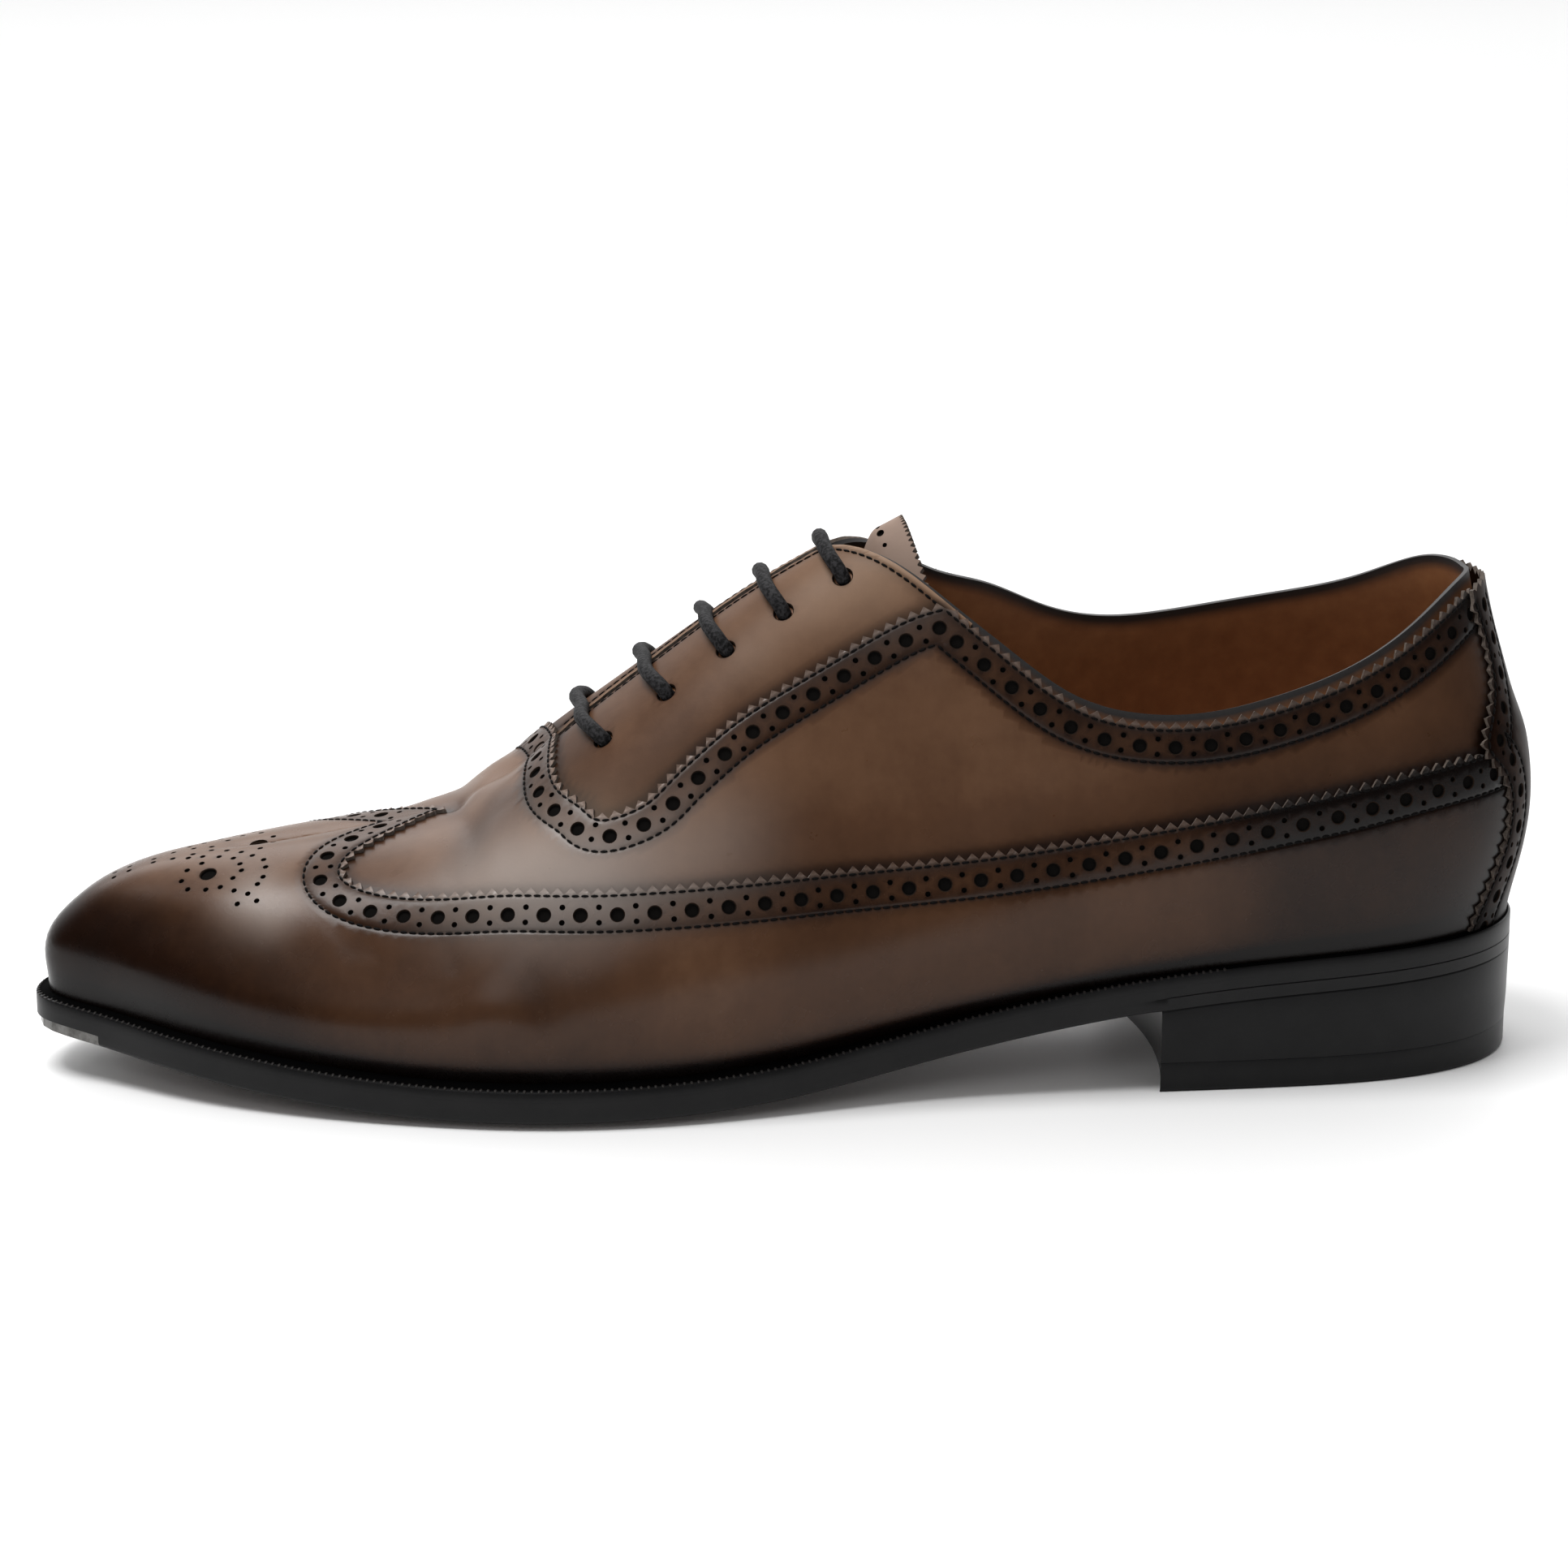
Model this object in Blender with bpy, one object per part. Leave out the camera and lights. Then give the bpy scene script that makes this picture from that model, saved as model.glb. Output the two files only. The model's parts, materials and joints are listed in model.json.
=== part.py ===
"""Left oxford brogue with a longwing cap, an adelaide throat and a stacked heel.

All pieces hang on one function, the last: a place on it is (along, up), where
along runs round the feather line from the heel back (0) by the lateral side to
the toe tip (1) and back by the medial side to the heel (2), and up runs from the
feather line (0) to the ridge of the last (1). Sizes are in millimetres.
The toe points to -X, the lateral side to -Y.
"""

import math
from collections import namedtuple

import bmesh
import bpy
import numpy as np
from mathutils.geometry import delaunay_2d_cdt

MM = 0.001

# Driving sizes of the last
LAST_LENGTH = 297.0
BALL_WIDTH = 90.0
INSTEP_HEIGHT = 104.0
HEEL_HEIGHT = 28.5

# Where the heel end and the heel axis stand, so that the shoe is centred on the origin
HEEL_X = 150.15
AXIS_Y = -5.9

# Walls and layers, as distances outwards from the outer face of the vamp
WALL_OUTER = -1.3
WALL_INNER = -2.9
LAYER_UNDERSIDE = -0.85
VAMP_FACE = 0.0
WING_FACE = 1.0
STRAP_FACE = 1.6
GAP = 0.3

# Sole
WELT_THICKNESS = 2.2
OUTSOLE_EDGE = 4.2
OUTSOLE_CROWN = 1.4
CROWN_INSET = 11.0
WELT_INNER = -3.6
INSOLE_INSET = -4.2
INSOLE_RISE = 1.5
HEEL_BREAST = 80.0
BREAST_HOLLOW = 4.0
TOP_PIECE = 6.0
PLATE_THICKNESS = 2.0
PLATE_SPAN = 0.062
PLATE_LAP = 2.0

# Throat, eyelets and lace
FACING_GAP = 3.0
EYELETS = 5
EYELET_PITCH = 4.05
EYELET_TOP = (47.8, 76.0)
EYELET_DROP = 1.2
EYELET_DIAMETER = 5.0
LACE_DIAMETER = 3.0

# Section rows. Hundredths of the last's length: along, apex (where the section meets the ridge).
# Hundredths of the ball width: lateral and medial feather distance from the heel axis.
# side and crown are the powers of the section's round, bulge is its overhang in millimetres.
Section = namedtuple("Section", "along lateral medial apex side crown bulge")
SECTIONS = (
    Section(1.7, 0.0, 0.0, 15.2, 2.0, 2.0, 4.6),
    Section(2.5, 12.2, 12.2, 15.3, 2.0, 2.0, 4.6),
    Section(4.5, 21.1, 21.1, 15.8, 2.0, 2.0, 4.6),
    Section(8.1, 28.4, 28.4, 17.2, 2.0, 2.0, 4.2),
    Section(12.8, 32.6, 32.6, 19.2, 2.0, 2.0, 3.6),
    Section(19.2, 34.2, 33.0, 22.9, 1.9, 2.0, 3.4),
    Section(26.6, 34.4, 30.4, 28.3, 1.8, 1.9, 3.8),
    Section(35.0, 34.0, 26.4, 35.0, 1.7, 1.8, 4.4),
    Section(43.8, 35.0, 28.9, 42.4, 1.7, 1.8, 5.0),
    Section(52.5, 40.0, 38.9, 50.2, 1.7, 1.9, 4.0),
    Section(60.6, 43.9, 50.0, 57.2, 1.75, 2.0, 3.0),
    Section(68.4, 43.3, 56.7, 64.3, 1.8, 2.0, 2.5),
    Section(76.1, 37.8, 56.1, 70.7, 1.9, 2.1, 2.0),
    Section(83.8, 28.9, 50.0, 76.4, 2.0, 2.2, 1.6),
    Section(90.9, 16.7, 40.6, 80.8, 2.0, 2.6, 1.5),
    Section(96.1, 4.4, 28.9, 83.5, 2.0, 2.95, 1.3),
    Section(99.0, -2.2, 20.0, 84.8, 2.0, 3.1, 1.2),
    Section(100.0, -8.9, 8.9, 85.2, 2.0, 3.1, 1.2),
)

# Long profile, hundredths of the last's length against hundredths of the heel height (seat),
# of the instep height (crown) and of the ball width (axis of the ridge, to the medial side).
Seat = namedtuple("Seat", "along height")
SEAT = (
    Seat(0.0, 100.0),
    Seat(13.5, 94.7),
    Seat(24.9, 86.0),
    Seat(33.7, 72.0),
    Seat(42.1, 54.4),
    Seat(50.5, 38.6),
    Seat(58.9, 30.9),
    Seat(67.3, 28.8),
    Seat(75.8, 30.2),
    Seat(84.2, 36.8),
    Seat(92.6, 47.4),
    Seat(101.0, 57.9),
)
Crown = namedtuple("Crown", "along height")
CROWN = (
    Crown(13.5, 151.0),
    Crown(23.6, 137.5),
    Crown(33.7, 123.0),
    Crown(43.8, 107.7),
    Crown(48.8, 100.0),
    Crown(53.9, 90.9),
    Crown(59.9, 78.0),
    Crown(66.0, 63.8),
    Crown(69.4, 55.0),
    Crown(72.7, 49.6),
    Crown(79.1, 45.0),
    Crown(85.2, 41.6),
)
Axis = namedtuple("Axis", "along offset")
AXIS = (
    Axis(0.0, 0.0),
    Axis(20.2, 0.0),
    Axis(33.7, 1.1),
    Axis(50.5, 3.9),
    Axis(67.3, 6.7),
    Axis(84.2, 8.9),
    Axis(101.0, 8.9),
)
# Reach of the welt beyond the feather line, in millimetres
Reach = namedtuple("Reach", "along beyond")
WELT_REACH = (
    Reach(0.0, 2.6),
    Reach(8.0, 2.9),
    Reach(18.0, 3.0),
    Reach(26.0, 3.1),
    Reach(36.0, 3.4),
    Reach(52.0, 4.6),
    Reach(64.0, 5.2),
    Reach(84.0, 4.8),
    Reach(100.0, 3.6),
)

# Pattern lines drawn on the last, in hundredths along and up
Place = namedtuple("Place", "along up")
COLLAR_LATERAL = (
    Place(0.0, 36.5),
    Place(6.2, 36.2),
    Place(11.1, 32.9),
    Place(16.0, 29.8),
    Place(20.0, 28.5),
    Place(24.7, 29.0),
    Place(29.0, 32.0),
    Place(33.0, 37.6),
    Place(37.0, 47.6),
    Place(40.7, 59.1),
    Place(44.7, 74.5),
    Place(47.8, 88.0),
    Place(51.0, 104.0),
)
COLLAR_MEDIAL = (
    Place(0.0, 36.5),
    Place(6.2, 36.4),
    Place(11.1, 34.2),
    Place(16.0, 33.3),
    Place(20.0, 33.6),
    Place(24.7, 35.3),
    Place(29.0, 38.7),
    Place(33.0, 44.6),
    Place(37.0, 53.0),
    Place(40.7, 60.5),
    Place(44.7, 74.5),
    Place(47.8, 88.0),
    Place(51.0, 104.0),
)
WING_EDGE = (
    Place(8.3, 18.9),
    Place(13.0, 18.5),
    Place(18.0, 17.6),
    Place(23.0, 17.6),
    Place(29.5, 19.2),
    Place(39.2, 22.5),
    Place(49.3, 26.2),
    Place(56.7, 28.8),
    Place(64.9, 36.2),
    Place(72.2, 46.7),
    Place(77.3, 53.6),
    Place(80.1, 59.6),
    Place(81.2, 67.0),
    Place(80.9, 76.5),
    Place(79.4, 87.0),
    Place(77.0, 100.0),
)
THROAT_EDGE = (
    Place(68.4, 100.0),
    Place(67.5, 78.0),
    Place(65.8, 60.5),
    Place(64.0, 52.0),
    Place(62.2, 48.1),
    Place(60.2, 47.6),
    Place(57.6, 51.7),
    Place(55.0, 54.8),
    Place(50.7, 57.2),
    Place(46.3, 59.2),
    Place(43.2, 60.0),
    Place(40.8, 59.1),
)
STRAP_EDGE = (
    Place(7.9, 0.0),
    Place(6.9, 6.0),
    Place(6.3, 12.0),
    Place(7.0, 16.5),
    Place(8.0, 19.0),
    Place(6.6, 23.0),
    Place(5.4, 27.0),
    Place(5.4, 31.5),
    Place(6.3, 36.6),
)

# How finely the forms are divided
STATIONS = 34
ROWS = 12
END_CROWDING = 0.45


def spline(knots, values, closed=False):
    """Smooth curve through values at rising knots, with even bending at every knot."""
    knots = np.asarray(knots, float)
    values = np.asarray(values, float)
    if values.ndim == 1:
        values = values[:, None]
    count = len(knots)
    spans = np.diff(knots)
    slopes = np.diff(values, axis=0) / spans[:, None]
    matrix = np.zeros((count, count))
    right = np.zeros_like(values)
    for i in range(1, count - 1):
        matrix[i, i - 1 : i + 2] = spans[i - 1], 2 * (spans[i - 1] + spans[i]), spans[i]
        right[i] = 6 * (slopes[i] - slopes[i - 1])
    if closed:
        matrix[0, 0] = 2 * (spans[-1] + spans[0])
        matrix[0, 1] = spans[0]
        matrix[0, -2] = spans[-1]
        right[0] = 6 * (slopes[0] - slopes[-1])
        matrix[-1, 0] = 1
        matrix[-1, -1] = -1
    else:
        matrix[0, 0] = matrix[-1, -1] = 1
    bends = np.linalg.solve(matrix, right)

    def curve(place):
        place = np.asarray(place, float)
        i = np.clip(np.searchsorted(knots, place, side="right") - 1, 0, count - 2)
        span = spans[i][..., None]
        after = (place - knots[i])[..., None]
        before = span - after
        bend = (bends[i] * before**3 + bends[i + 1] * after**3) / (6 * span)
        start = (values[i] / span - bends[i] * span / 6) * before
        end = (values[i + 1] / span - bends[i + 1] * span / 6) * after
        return bend + start + end

    return curve


def profile(rows, unit, along_unit=LAST_LENGTH / 100):
    """Smooth single value over the distance from the heel, held level past its ends."""
    knots = [row[0] * along_unit for row in rows]
    curve = spline(knots, [row[1] * unit for row in rows])
    return lambda along: curve(np.clip(along, knots[0], knots[-1]))[..., 0]


seat_height = profile(SEAT, HEEL_HEIGHT / 100)
crown_height = profile(CROWN, INSTEP_HEIGHT / 100)
axis_offset = profile(AXIS, BALL_WIDTH / 100)


def section_loop():
    """The section rows as one closed curve round the feather line, over 0 to 2."""
    length, width = LAST_LENGTH / 100, BALL_WIDTH / 100
    sides = []
    for sign, side in ((-1, "lateral"), (1, "medial")):
        rows = []
        for row in SECTIONS:
            across = sign * getattr(row, side) * width
            rows.append((row.along * length, across, row.apex * length, row.side, row.crown, row.bulge))
        sides.append(np.array(rows))
    steps = [np.hypot(*np.diff(side[:, :2], axis=0).T) for side in sides]
    half = np.concatenate([[0.0], np.cumsum(steps[0] + steps[1])])
    half /= half[-1]
    knots = np.concatenate([half, 2 - half[-2::-1]])
    return spline(knots, np.vstack([sides[0], sides[1][-2::-1]]), closed=True)


section_at = section_loop()
BULGE_PEAK = 0.14
BULGE_END = 0.36


def bulge_share(up):
    """Overhang above the feather line: none at the feather, full at the peak, none past the end."""
    power = math.log(0.5) / math.log(BULGE_PEAK / BULGE_END)
    return np.sin(np.pi * np.clip(up / BULGE_END, 0, 1) ** power) ** 2


def last(along, up):
    """Points of the last at places (along, up), which may be arrays."""
    along, up = np.broadcast_arrays(np.asarray(along, float), np.asarray(up, float))
    back, across, apex, side, crown, bulge = np.moveaxis(section_at(along % 2), -1, 0)
    turn = np.clip(up, 0, 1) * np.pi / 2
    inwards = 1 - np.maximum(np.cos(turn), 0) ** (2 / side)
    upwards = np.sin(turn) ** (2 / crown)
    to_apex, to_ridge = apex - back, axis_offset(apex) - across
    reach = np.hypot(to_apex, to_ridge)
    inwards = inwards - bulge * bulge_share(up) / reach
    floor, top = seat_height(back), crown_height(apex)
    x = HEEL_X - (back + to_apex * inwards)
    y = AXIS_Y + across + to_ridge * inwards
    return np.stack([x, y, floor + (top - floor) * upwards], -1)


ALONG_STEP = 1e-4
UP_STEP = 2e-3


def unit(vectors):
    return vectors / np.linalg.norm(vectors, axis=-1, keepdims=True)


def outward(along, up):
    """Unit normals of the last, pointing out; on the ridge both sides share one."""
    inner = np.clip(up, UP_STEP / 2, 1 - UP_STEP / 2)
    above, below = np.minimum(inner + UP_STEP, 1), np.maximum(inner - UP_STEP, 0)

    def normals(place):
        round_the_last = last(place + ALONG_STEP, inner) - last(place - ALONG_STEP, inner)
        return unit(np.cross(last(place, above) - last(place, below), round_the_last))

    normal = normals(along)
    on_ridge = np.asarray(up) > 1 - ALONG_STEP
    return unit(np.where(on_ridge[..., None], normal + normals(2 - along), normal))


def skin(along, up, lift):
    """Points at a distance outwards from the last; both sides share those on the ridge."""
    along, up = np.broadcast_arrays(np.asarray(along, float), np.asarray(up, float))
    along = np.where(up > 1 - ALONG_STEP, np.minimum(along % 2, 2 - along % 2), along)
    return last(along, up) + outward(along, up) * np.asarray(lift, float)[..., None]


def line(places, count):
    """Even points along a pattern line, as (along, up)."""
    points = np.array(places, float) / 100
    steps = np.hypot(*np.diff(points, axis=0).T)
    knots = np.concatenate([[0.0], np.cumsum(steps)])
    return spline(knots, points)(np.linspace(0, knots[-1], count))


def height_line(places):
    """A pattern line read as a height over its place along."""
    points = np.array(places, float) / 100
    curve = spline(points[:, 0], points[:, 1])
    return lambda along: curve(np.clip(along, points[0, 0], points[-1, 0]))[..., 0]


collar_lateral = height_line(COLLAR_LATERAL)
collar_medial = height_line(COLLAR_MEDIAL)
THROAT_FRONT = THROAT_EDGE[0].along / 100
CORNER_SOFTNESS = 0.035


def top_edge(along):
    """Height of the upper's free edge: the collar, then the facing's edge, then the closed ridge."""
    place = np.minimum(along % 2, 2 - along % 2)
    collar = np.where(along % 2 <= 1, collar_lateral(place), collar_medial(place))
    back, across, apex, side = np.moveaxis(section_at(along % 2), -1, 0)[:4]
    reach = np.hypot(apex - back, axis_offset(apex) - across)
    facing = np.arccos((FACING_GAP / 2 / reach) ** (side / 2)) / (np.pi / 2)
    mix = np.clip(0.5 + (facing - collar) / (2 * CORNER_SOFTNESS), 0, 1)
    edge = facing * (1 - mix) + collar * mix - CORNER_SOFTNESS * mix * (1 - mix)
    return np.where(place >= THROAT_FRONT, 1.0, edge)


def stations():
    """Places along from the heel back to the toe tip, closer together at both ends."""
    even = np.linspace(0, 1, STATIONS + 1)
    return even - END_CROWDING * np.sin(2 * np.pi * even) / (2 * np.pi)


def material(name, colour, roughness, metallic=0.0):
    made = bpy.data.materials.new(name)
    made.use_nodes = True
    shader = made.node_tree.nodes["Principled BSDF"]
    shader.inputs["Base Color"].default_value = (*colour, 1.0)
    shader.inputs["Roughness"].default_value = roughness
    shader.inputs["Metallic"].default_value = metallic
    return made


SAME_POINT = 1e-6
SHARP_EDGE = math.radians(40)


def piece(name, points, faces, finish=None):
    """A named mesh object from points in millimetres; equal points are made one."""
    mesh = bpy.data.meshes.new(name)
    corners = [tuple(point) for point in np.asarray(points) * MM]
    mesh.from_pydata(corners, [], [tuple(face) for face in faces])
    shape = bmesh.new()
    shape.from_mesh(mesh)
    bmesh.ops.remove_doubles(shape, verts=shape.verts, dist=SAME_POINT)
    bmesh.ops.recalc_face_normals(shape, faces=shape.faces)
    shape.to_mesh(mesh)
    shape.free()
    mesh.shade_smooth()
    mesh.set_sharp_from_angle(angle=SHARP_EDGE)
    made = bpy.data.objects.new(name, mesh)
    if finish:
        made.data.materials.append(finish)
    bpy.context.scene.collection.objects.link(made)
    return made


def cut_away(made, points, faces, solver):
    """Takes a helper shape away from a piece; the helper stays as a wire, out of the part."""
    cutter = piece(made.name + "_cutter", points, faces)
    cutter.hide_render = True
    cutter.display_type = "WIRE"
    cut = made.modifiers.new("cut", "BOOLEAN")
    cut.solver = solver
    cut.operation = "DIFFERENCE"
    cut.object = cutter
    return made


def shell(outer, inner, triangles):
    """Points and faces of a wall between two equal sheets, closed along their free edges."""
    count = len(outer)
    key = {}
    same = [key.setdefault(tuple(np.round(point, 4)), i) for i, point in enumerate(outer)]
    edges = {}
    for corner in triangles:
        for a, b in zip(corner, (*corner[1:], corner[0])):
            edges.setdefault(frozenset((same[a], same[b])), []).append((a, b))
    faces = [tuple(corner) for corner in triangles]
    faces += [tuple(i + count for i in reversed(corner)) for corner in triangles]
    for uses in edges.values():
        if len(uses) == 1:
            a, b = uses[0]
            faces.append((b, a, a + count, b + count))
    return np.vstack([outer, inner]), faces


def inside(points, outline):
    """Which points lie within a closed outline."""
    x, y = points[:, :1], points[:, 1:]
    x0, y0 = outline[:, 0], outline[:, 1]
    x1, y1 = np.roll(x0, -1), np.roll(y0, -1)
    crosses = (y0 > y) != (y1 > y)
    with np.errstate(divide="ignore", invalid="ignore"):
        hit = x < (x1 - x0) * (y - y0) / (y1 - y0) + x0
    return (crosses & hit).sum(axis=1) % 2 == 1


# Millimetres for one unit along and one unit up, about, for even triangles
SHEET_SCALE = np.array([324.0, 110.0])


def beside(points, distance):
    """A line of places moved sideways by millimetres, to its left where positive."""
    flat = points * SHEET_SCALE
    run = np.gradient(flat, axis=0)
    run /= np.linalg.norm(run, axis=1, keepdims=True)
    return (flat + distance * np.stack([-run[:, 1], run[:, 0]], 1)) / SHEET_SCALE


def mirrored(points):
    """The same places on the other side of the shoe."""
    return np.stack([2 - points[:, 0], points[:, 1]], 1)


def grid_places():
    """Places of the upper's own grid, with the heel's medial side also at negative along."""
    side = stations()
    along = np.concatenate([-side[:0:-1], side, 2 - side[-2::-1]])
    up = top_edge(along)[:, None] * np.linspace(0, 1, ROWS + 1)
    return np.stack([np.broadcast_to(along[:, None], up.shape), up], -1).reshape(-1, 2)


KEEP_OFF = 2.2


def triangulated(outline):
    """Places and triangles that fill an outline on the upper's grid."""
    grid = grid_places()
    grid = grid[(grid[:, 1] > UP_STEP) & (grid[:, 1] < 1 - UP_STEP) & inside(grid, outline)]
    apart = np.linalg.norm((grid[:, None] - outline[None]) * SHEET_SCALE, axis=2).min(axis=1)
    flat = np.vstack([outline, grid[apart > KEEP_OFF]]) * SHEET_SCALE
    rim = [(i, (i + 1) % len(outline)) for i in range(len(outline))]
    made = delaunay_2d_cdt([tuple(point) for point in flat], rim, [], 1, SAME_POINT)
    places = flat[[sources[0] for sources in made[3]]] / SHEET_SCALE
    triangles = np.array([tuple(corner) for corner in made[2]])
    return places, triangles[inside(places[triangles].mean(axis=1), outline)]


def layer(name, outlines, face, finish):
    """A leather layer over the upper, inside outlines of places that meet on the ridge."""
    places, triangles = np.zeros((0, 2)), np.zeros((0, 3), int)
    for outline in outlines:
        more, corners = triangulated(outline)
        triangles = np.vstack([triangles, corners + len(places)])
        places = np.vstack([places, more])
    outer = skin(places[:, 0], places[:, 1], face)
    inner = skin(places[:, 0], places[:, 1], LAYER_UNDERSIDE)
    return piece(name, *shell(outer, inner, triangles), finish)


# How far the layers stop under the top edge, and short of each other's lines in millimetres
COLLAR_DROP = 0.006
EDGE_GAP = 0.25
# Least step, along or up, between the ends of two outline runs that meet
CORNER_STEP = 0.012
COLLAR_START = 0.008
COLLAR_END = 0.004
# Points on each outline run
WING_POINTS = 50
THROAT_POINTS = 28
STRAP_POINTS = 30
COLLAR_POINTS = 22
RIDGE_POINTS = 4
HEEL_POINTS = 7
STRAP_TOP_POINTS = 11


def straight(start, end, count):
    """Even places from start to end, both left out."""
    share = np.linspace(0, 1, count + 2)[1:-1, None]
    return np.array(start) * (1 - share) + np.array(end) * share


def collar_run(start, end, count):
    """Places just under the top edge, between two places along."""
    along = np.linspace(start, end, count)
    return np.stack([along, top_edge(along) - COLLAR_DROP], 1)


def vamp_quarter_outlines():
    """Lateral and medial half, each from wing line to throat, collar and strap."""
    wing = beside(line(WING_EDGE, WING_POINTS), EDGE_GAP)
    wing[-1, 1] = 1.0
    throat = line(THROAT_EDGE, THROAT_POINTS)
    front = [wing, straight(wing[-1], throat[0], RIDGE_POINTS), throat]
    strap = beside(line(STRAP_EDGE, STRAP_POINTS), -EDGE_GAP)
    strap = strap[strap[:, 1] > wing[0, 1] + CORNER_STEP][::-1]
    start, end = throat[-1, 0] - COLLAR_START, strap[0, 0] + COLLAR_END
    lateral = [*front, collar_run(start, end, COLLAR_POINTS), strap[1:]]
    medial_collar = collar_run(2 - start, 2 - end, COLLAR_POINTS)
    medial = [*map(mirrored, front), medial_collar, mirrored(strap[1:])]
    return [np.vstack(lateral), np.vstack(medial)]


def longwing_outline():
    """Both sides in one: feather line, strap, wing lines and the ridge between them."""
    wing = beside(line(WING_EDGE, WING_POINTS), -EDGE_GAP)
    wing[-1, 1] = 1.0
    strap = beside(line(STRAP_EDGE, STRAP_POINTS), -EDGE_GAP)
    strap = strap[strap[:, 1] < wing[0, 1] - CORNER_STEP]
    strap[0, 1] = 0.0
    side = stations()
    feather = side[side > strap[0, 0] + CORNER_STEP]
    feather = np.concatenate([feather, 2 - feather[-2::-1]])
    feather = np.stack([feather, np.zeros_like(feather)], 1)
    ridge = side[side > wing[-1, 0] + CORNER_STEP]
    ridge = np.concatenate([2 - ridge, ridge[-2::-1]])
    ridge = np.stack([ridge, np.ones_like(ridge)], 1)
    return np.vstack([feather, mirrored(strap), mirrored(wing), ridge, wing[::-1], strap[::-1]])


def strap_outline():
    """Across the heel back, with negative along on the medial side."""
    edge = beside(line(STRAP_EDGE, STRAP_POINTS), EDGE_GAP)
    edge[0, 1] = 0.0
    edge = edge[edge[:, 1] < top_edge(edge[:, 0]) - COLLAR_DROP - CORNER_STEP]
    other = np.stack([-edge[:, 0], edge[:, 1]], 1)
    feather = straight(other[0], edge[0], HEEL_POINTS)
    top = collar_run(edge[-1, 0], -edge[-1, 0], STRAP_TOP_POINTS)
    return np.vstack([feather, edge, top, other[::-1]])


def eyelet_places():
    """(along, up) of the lateral eyelets, from the top of the facing to the front."""
    top_along, top_up = EYELET_TOP
    row = np.arange(EYELETS)
    return np.stack([top_along + EYELET_PITCH * row, top_up - EYELET_DROP * row], 1) / 100


EYELET_SIDES = 10
EYELET_CUT = 4.0


def eyelet_cylinders():
    """Points and faces of a short cylinder through the wall at each eyelet."""
    places = eyelet_places()
    places = np.vstack([places, mirrored(places)])
    middles = skin(places[:, 0], places[:, 1], (WALL_OUTER + WALL_INNER) / 2)
    normals = outward(places[:, 0], places[:, 1])
    turns = np.linspace(0, 2 * np.pi, EYELET_SIDES, endpoint=False)
    points, faces = [], []
    for middle, normal in zip(middles, normals):
        across = np.cross(normal, (1.0, 0.0, 0.0))
        across /= np.linalg.norm(across)
        other = np.cross(normal, across)
        ring = np.cos(turns)[:, None] * across + np.sin(turns)[:, None] * other
        ring = middle + ring * EYELET_DIAMETER / 2
        first = len(points)
        points.extend(ring - normal * EYELET_CUT)
        points.extend(ring + normal * EYELET_CUT)
        low = [first + i for i in range(EYELET_SIDES)]
        high = [i + EYELET_SIDES for i in low]
        faces += [low[::-1], high]
        for i in range(EYELET_SIDES):
            j = (i + 1) % EYELET_SIDES
            faces.append((low[i], low[j], high[j], high[i]))
    return points, faces


def upper(finish):
    """The hollow wall: lining and lace facings in one, with five eyelets a side."""
    side = stations()
    along = np.concatenate([side, 2 - side[-2:0:-1]])
    columns = len(along)
    up = top_edge(along)[:, None] * np.linspace(0, 1, ROWS + 1)
    places = np.stack([np.broadcast_to(along[:, None], up.shape), up], -1).reshape(-1, 2)
    faces = []
    for i in range(columns):
        here, after = i * (ROWS + 1), (i + 1) % columns * (ROWS + 1)
        for row in range(ROWS):
            faces.append((here + row, after + row, after + row + 1, here + row + 1))
    outer = skin(places[:, 0], places[:, 1], WALL_OUTER)
    inner = skin(places[:, 0], places[:, 1], WALL_INNER)
    made = piece("upper", *shell(outer, inner, faces), finish)
    return cut_away(made, *eyelet_cylinders(), "EXACT")


welt_reach = profile(WELT_REACH, 1.0)


def sole_ring(along, beyond, drop):
    """Points round the sole: beyond the feather line in plan, and below its height."""
    back, across = np.moveaxis(section_at(along % 2), -1, 0)[:2]
    ahead, behind = section_at((along + ALONG_STEP) % 2), section_at((along - ALONG_STEP) % 2)
    run = unit((ahead - behind)[..., :2])
    x = HEEL_X - (back + run[..., 1] * beyond)
    y = AXIS_Y + across - run[..., 0] * beyond
    return np.stack([x, y, seat_height(back) - drop], -1)


def feather_back(along):
    return section_at(along % 2)[..., 0]


def ladder(count):
    """Faces across a closed ring of 2 x count points, from side to side."""
    last_one = 2 * count - 1
    faces = [(0, 1, last_one)]
    for i in range(1, count - 1):
        faces.append((i, i + 1, last_one - i, last_one - i + 1))
    faces.append((count - 1, count, count + 1))
    return faces


def stacked(rings, close_bottom, close_top):
    """Points and faces of a solid through rings of equal count, from bottom to top."""
    count = len(rings[0])
    faces = [tuple(reversed(face)) for face in close_bottom]
    for level in range(len(rings) - 1):
        for i in range(count):
            j = (i + 1) % count
            low, high = level * count, (level + 1) * count
            faces.append((low + i, low + j, high + j, high + i))
    top = (len(rings) - 1) * count
    faces += [tuple(i + top for i in face) for face in close_top]
    return np.vstack(rings), faces


def full_round():
    side = stations()
    return np.concatenate([side, 2 - side[-2:0:-1]])


def welt(finish):
    along = full_round()
    reach = welt_reach(feather_back(along))
    rings = [
        sole_ring(along, WELT_INNER, GAP),
        sole_ring(along, WELT_INNER, GAP + WELT_THICKNESS),
        sole_ring(along, reach, GAP + WELT_THICKNESS),
        sole_ring(along, reach, GAP),
    ]
    count = len(along)
    faces = []
    for level in range(4):
        low, high = level * count, (level + 1) % 4 * count
        for i in range(count):
            j = (i + 1) % count
            faces.append((low + i, low + j, high + j, high + i))
    return piece("welt", np.vstack(rings), faces, finish)


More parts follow.
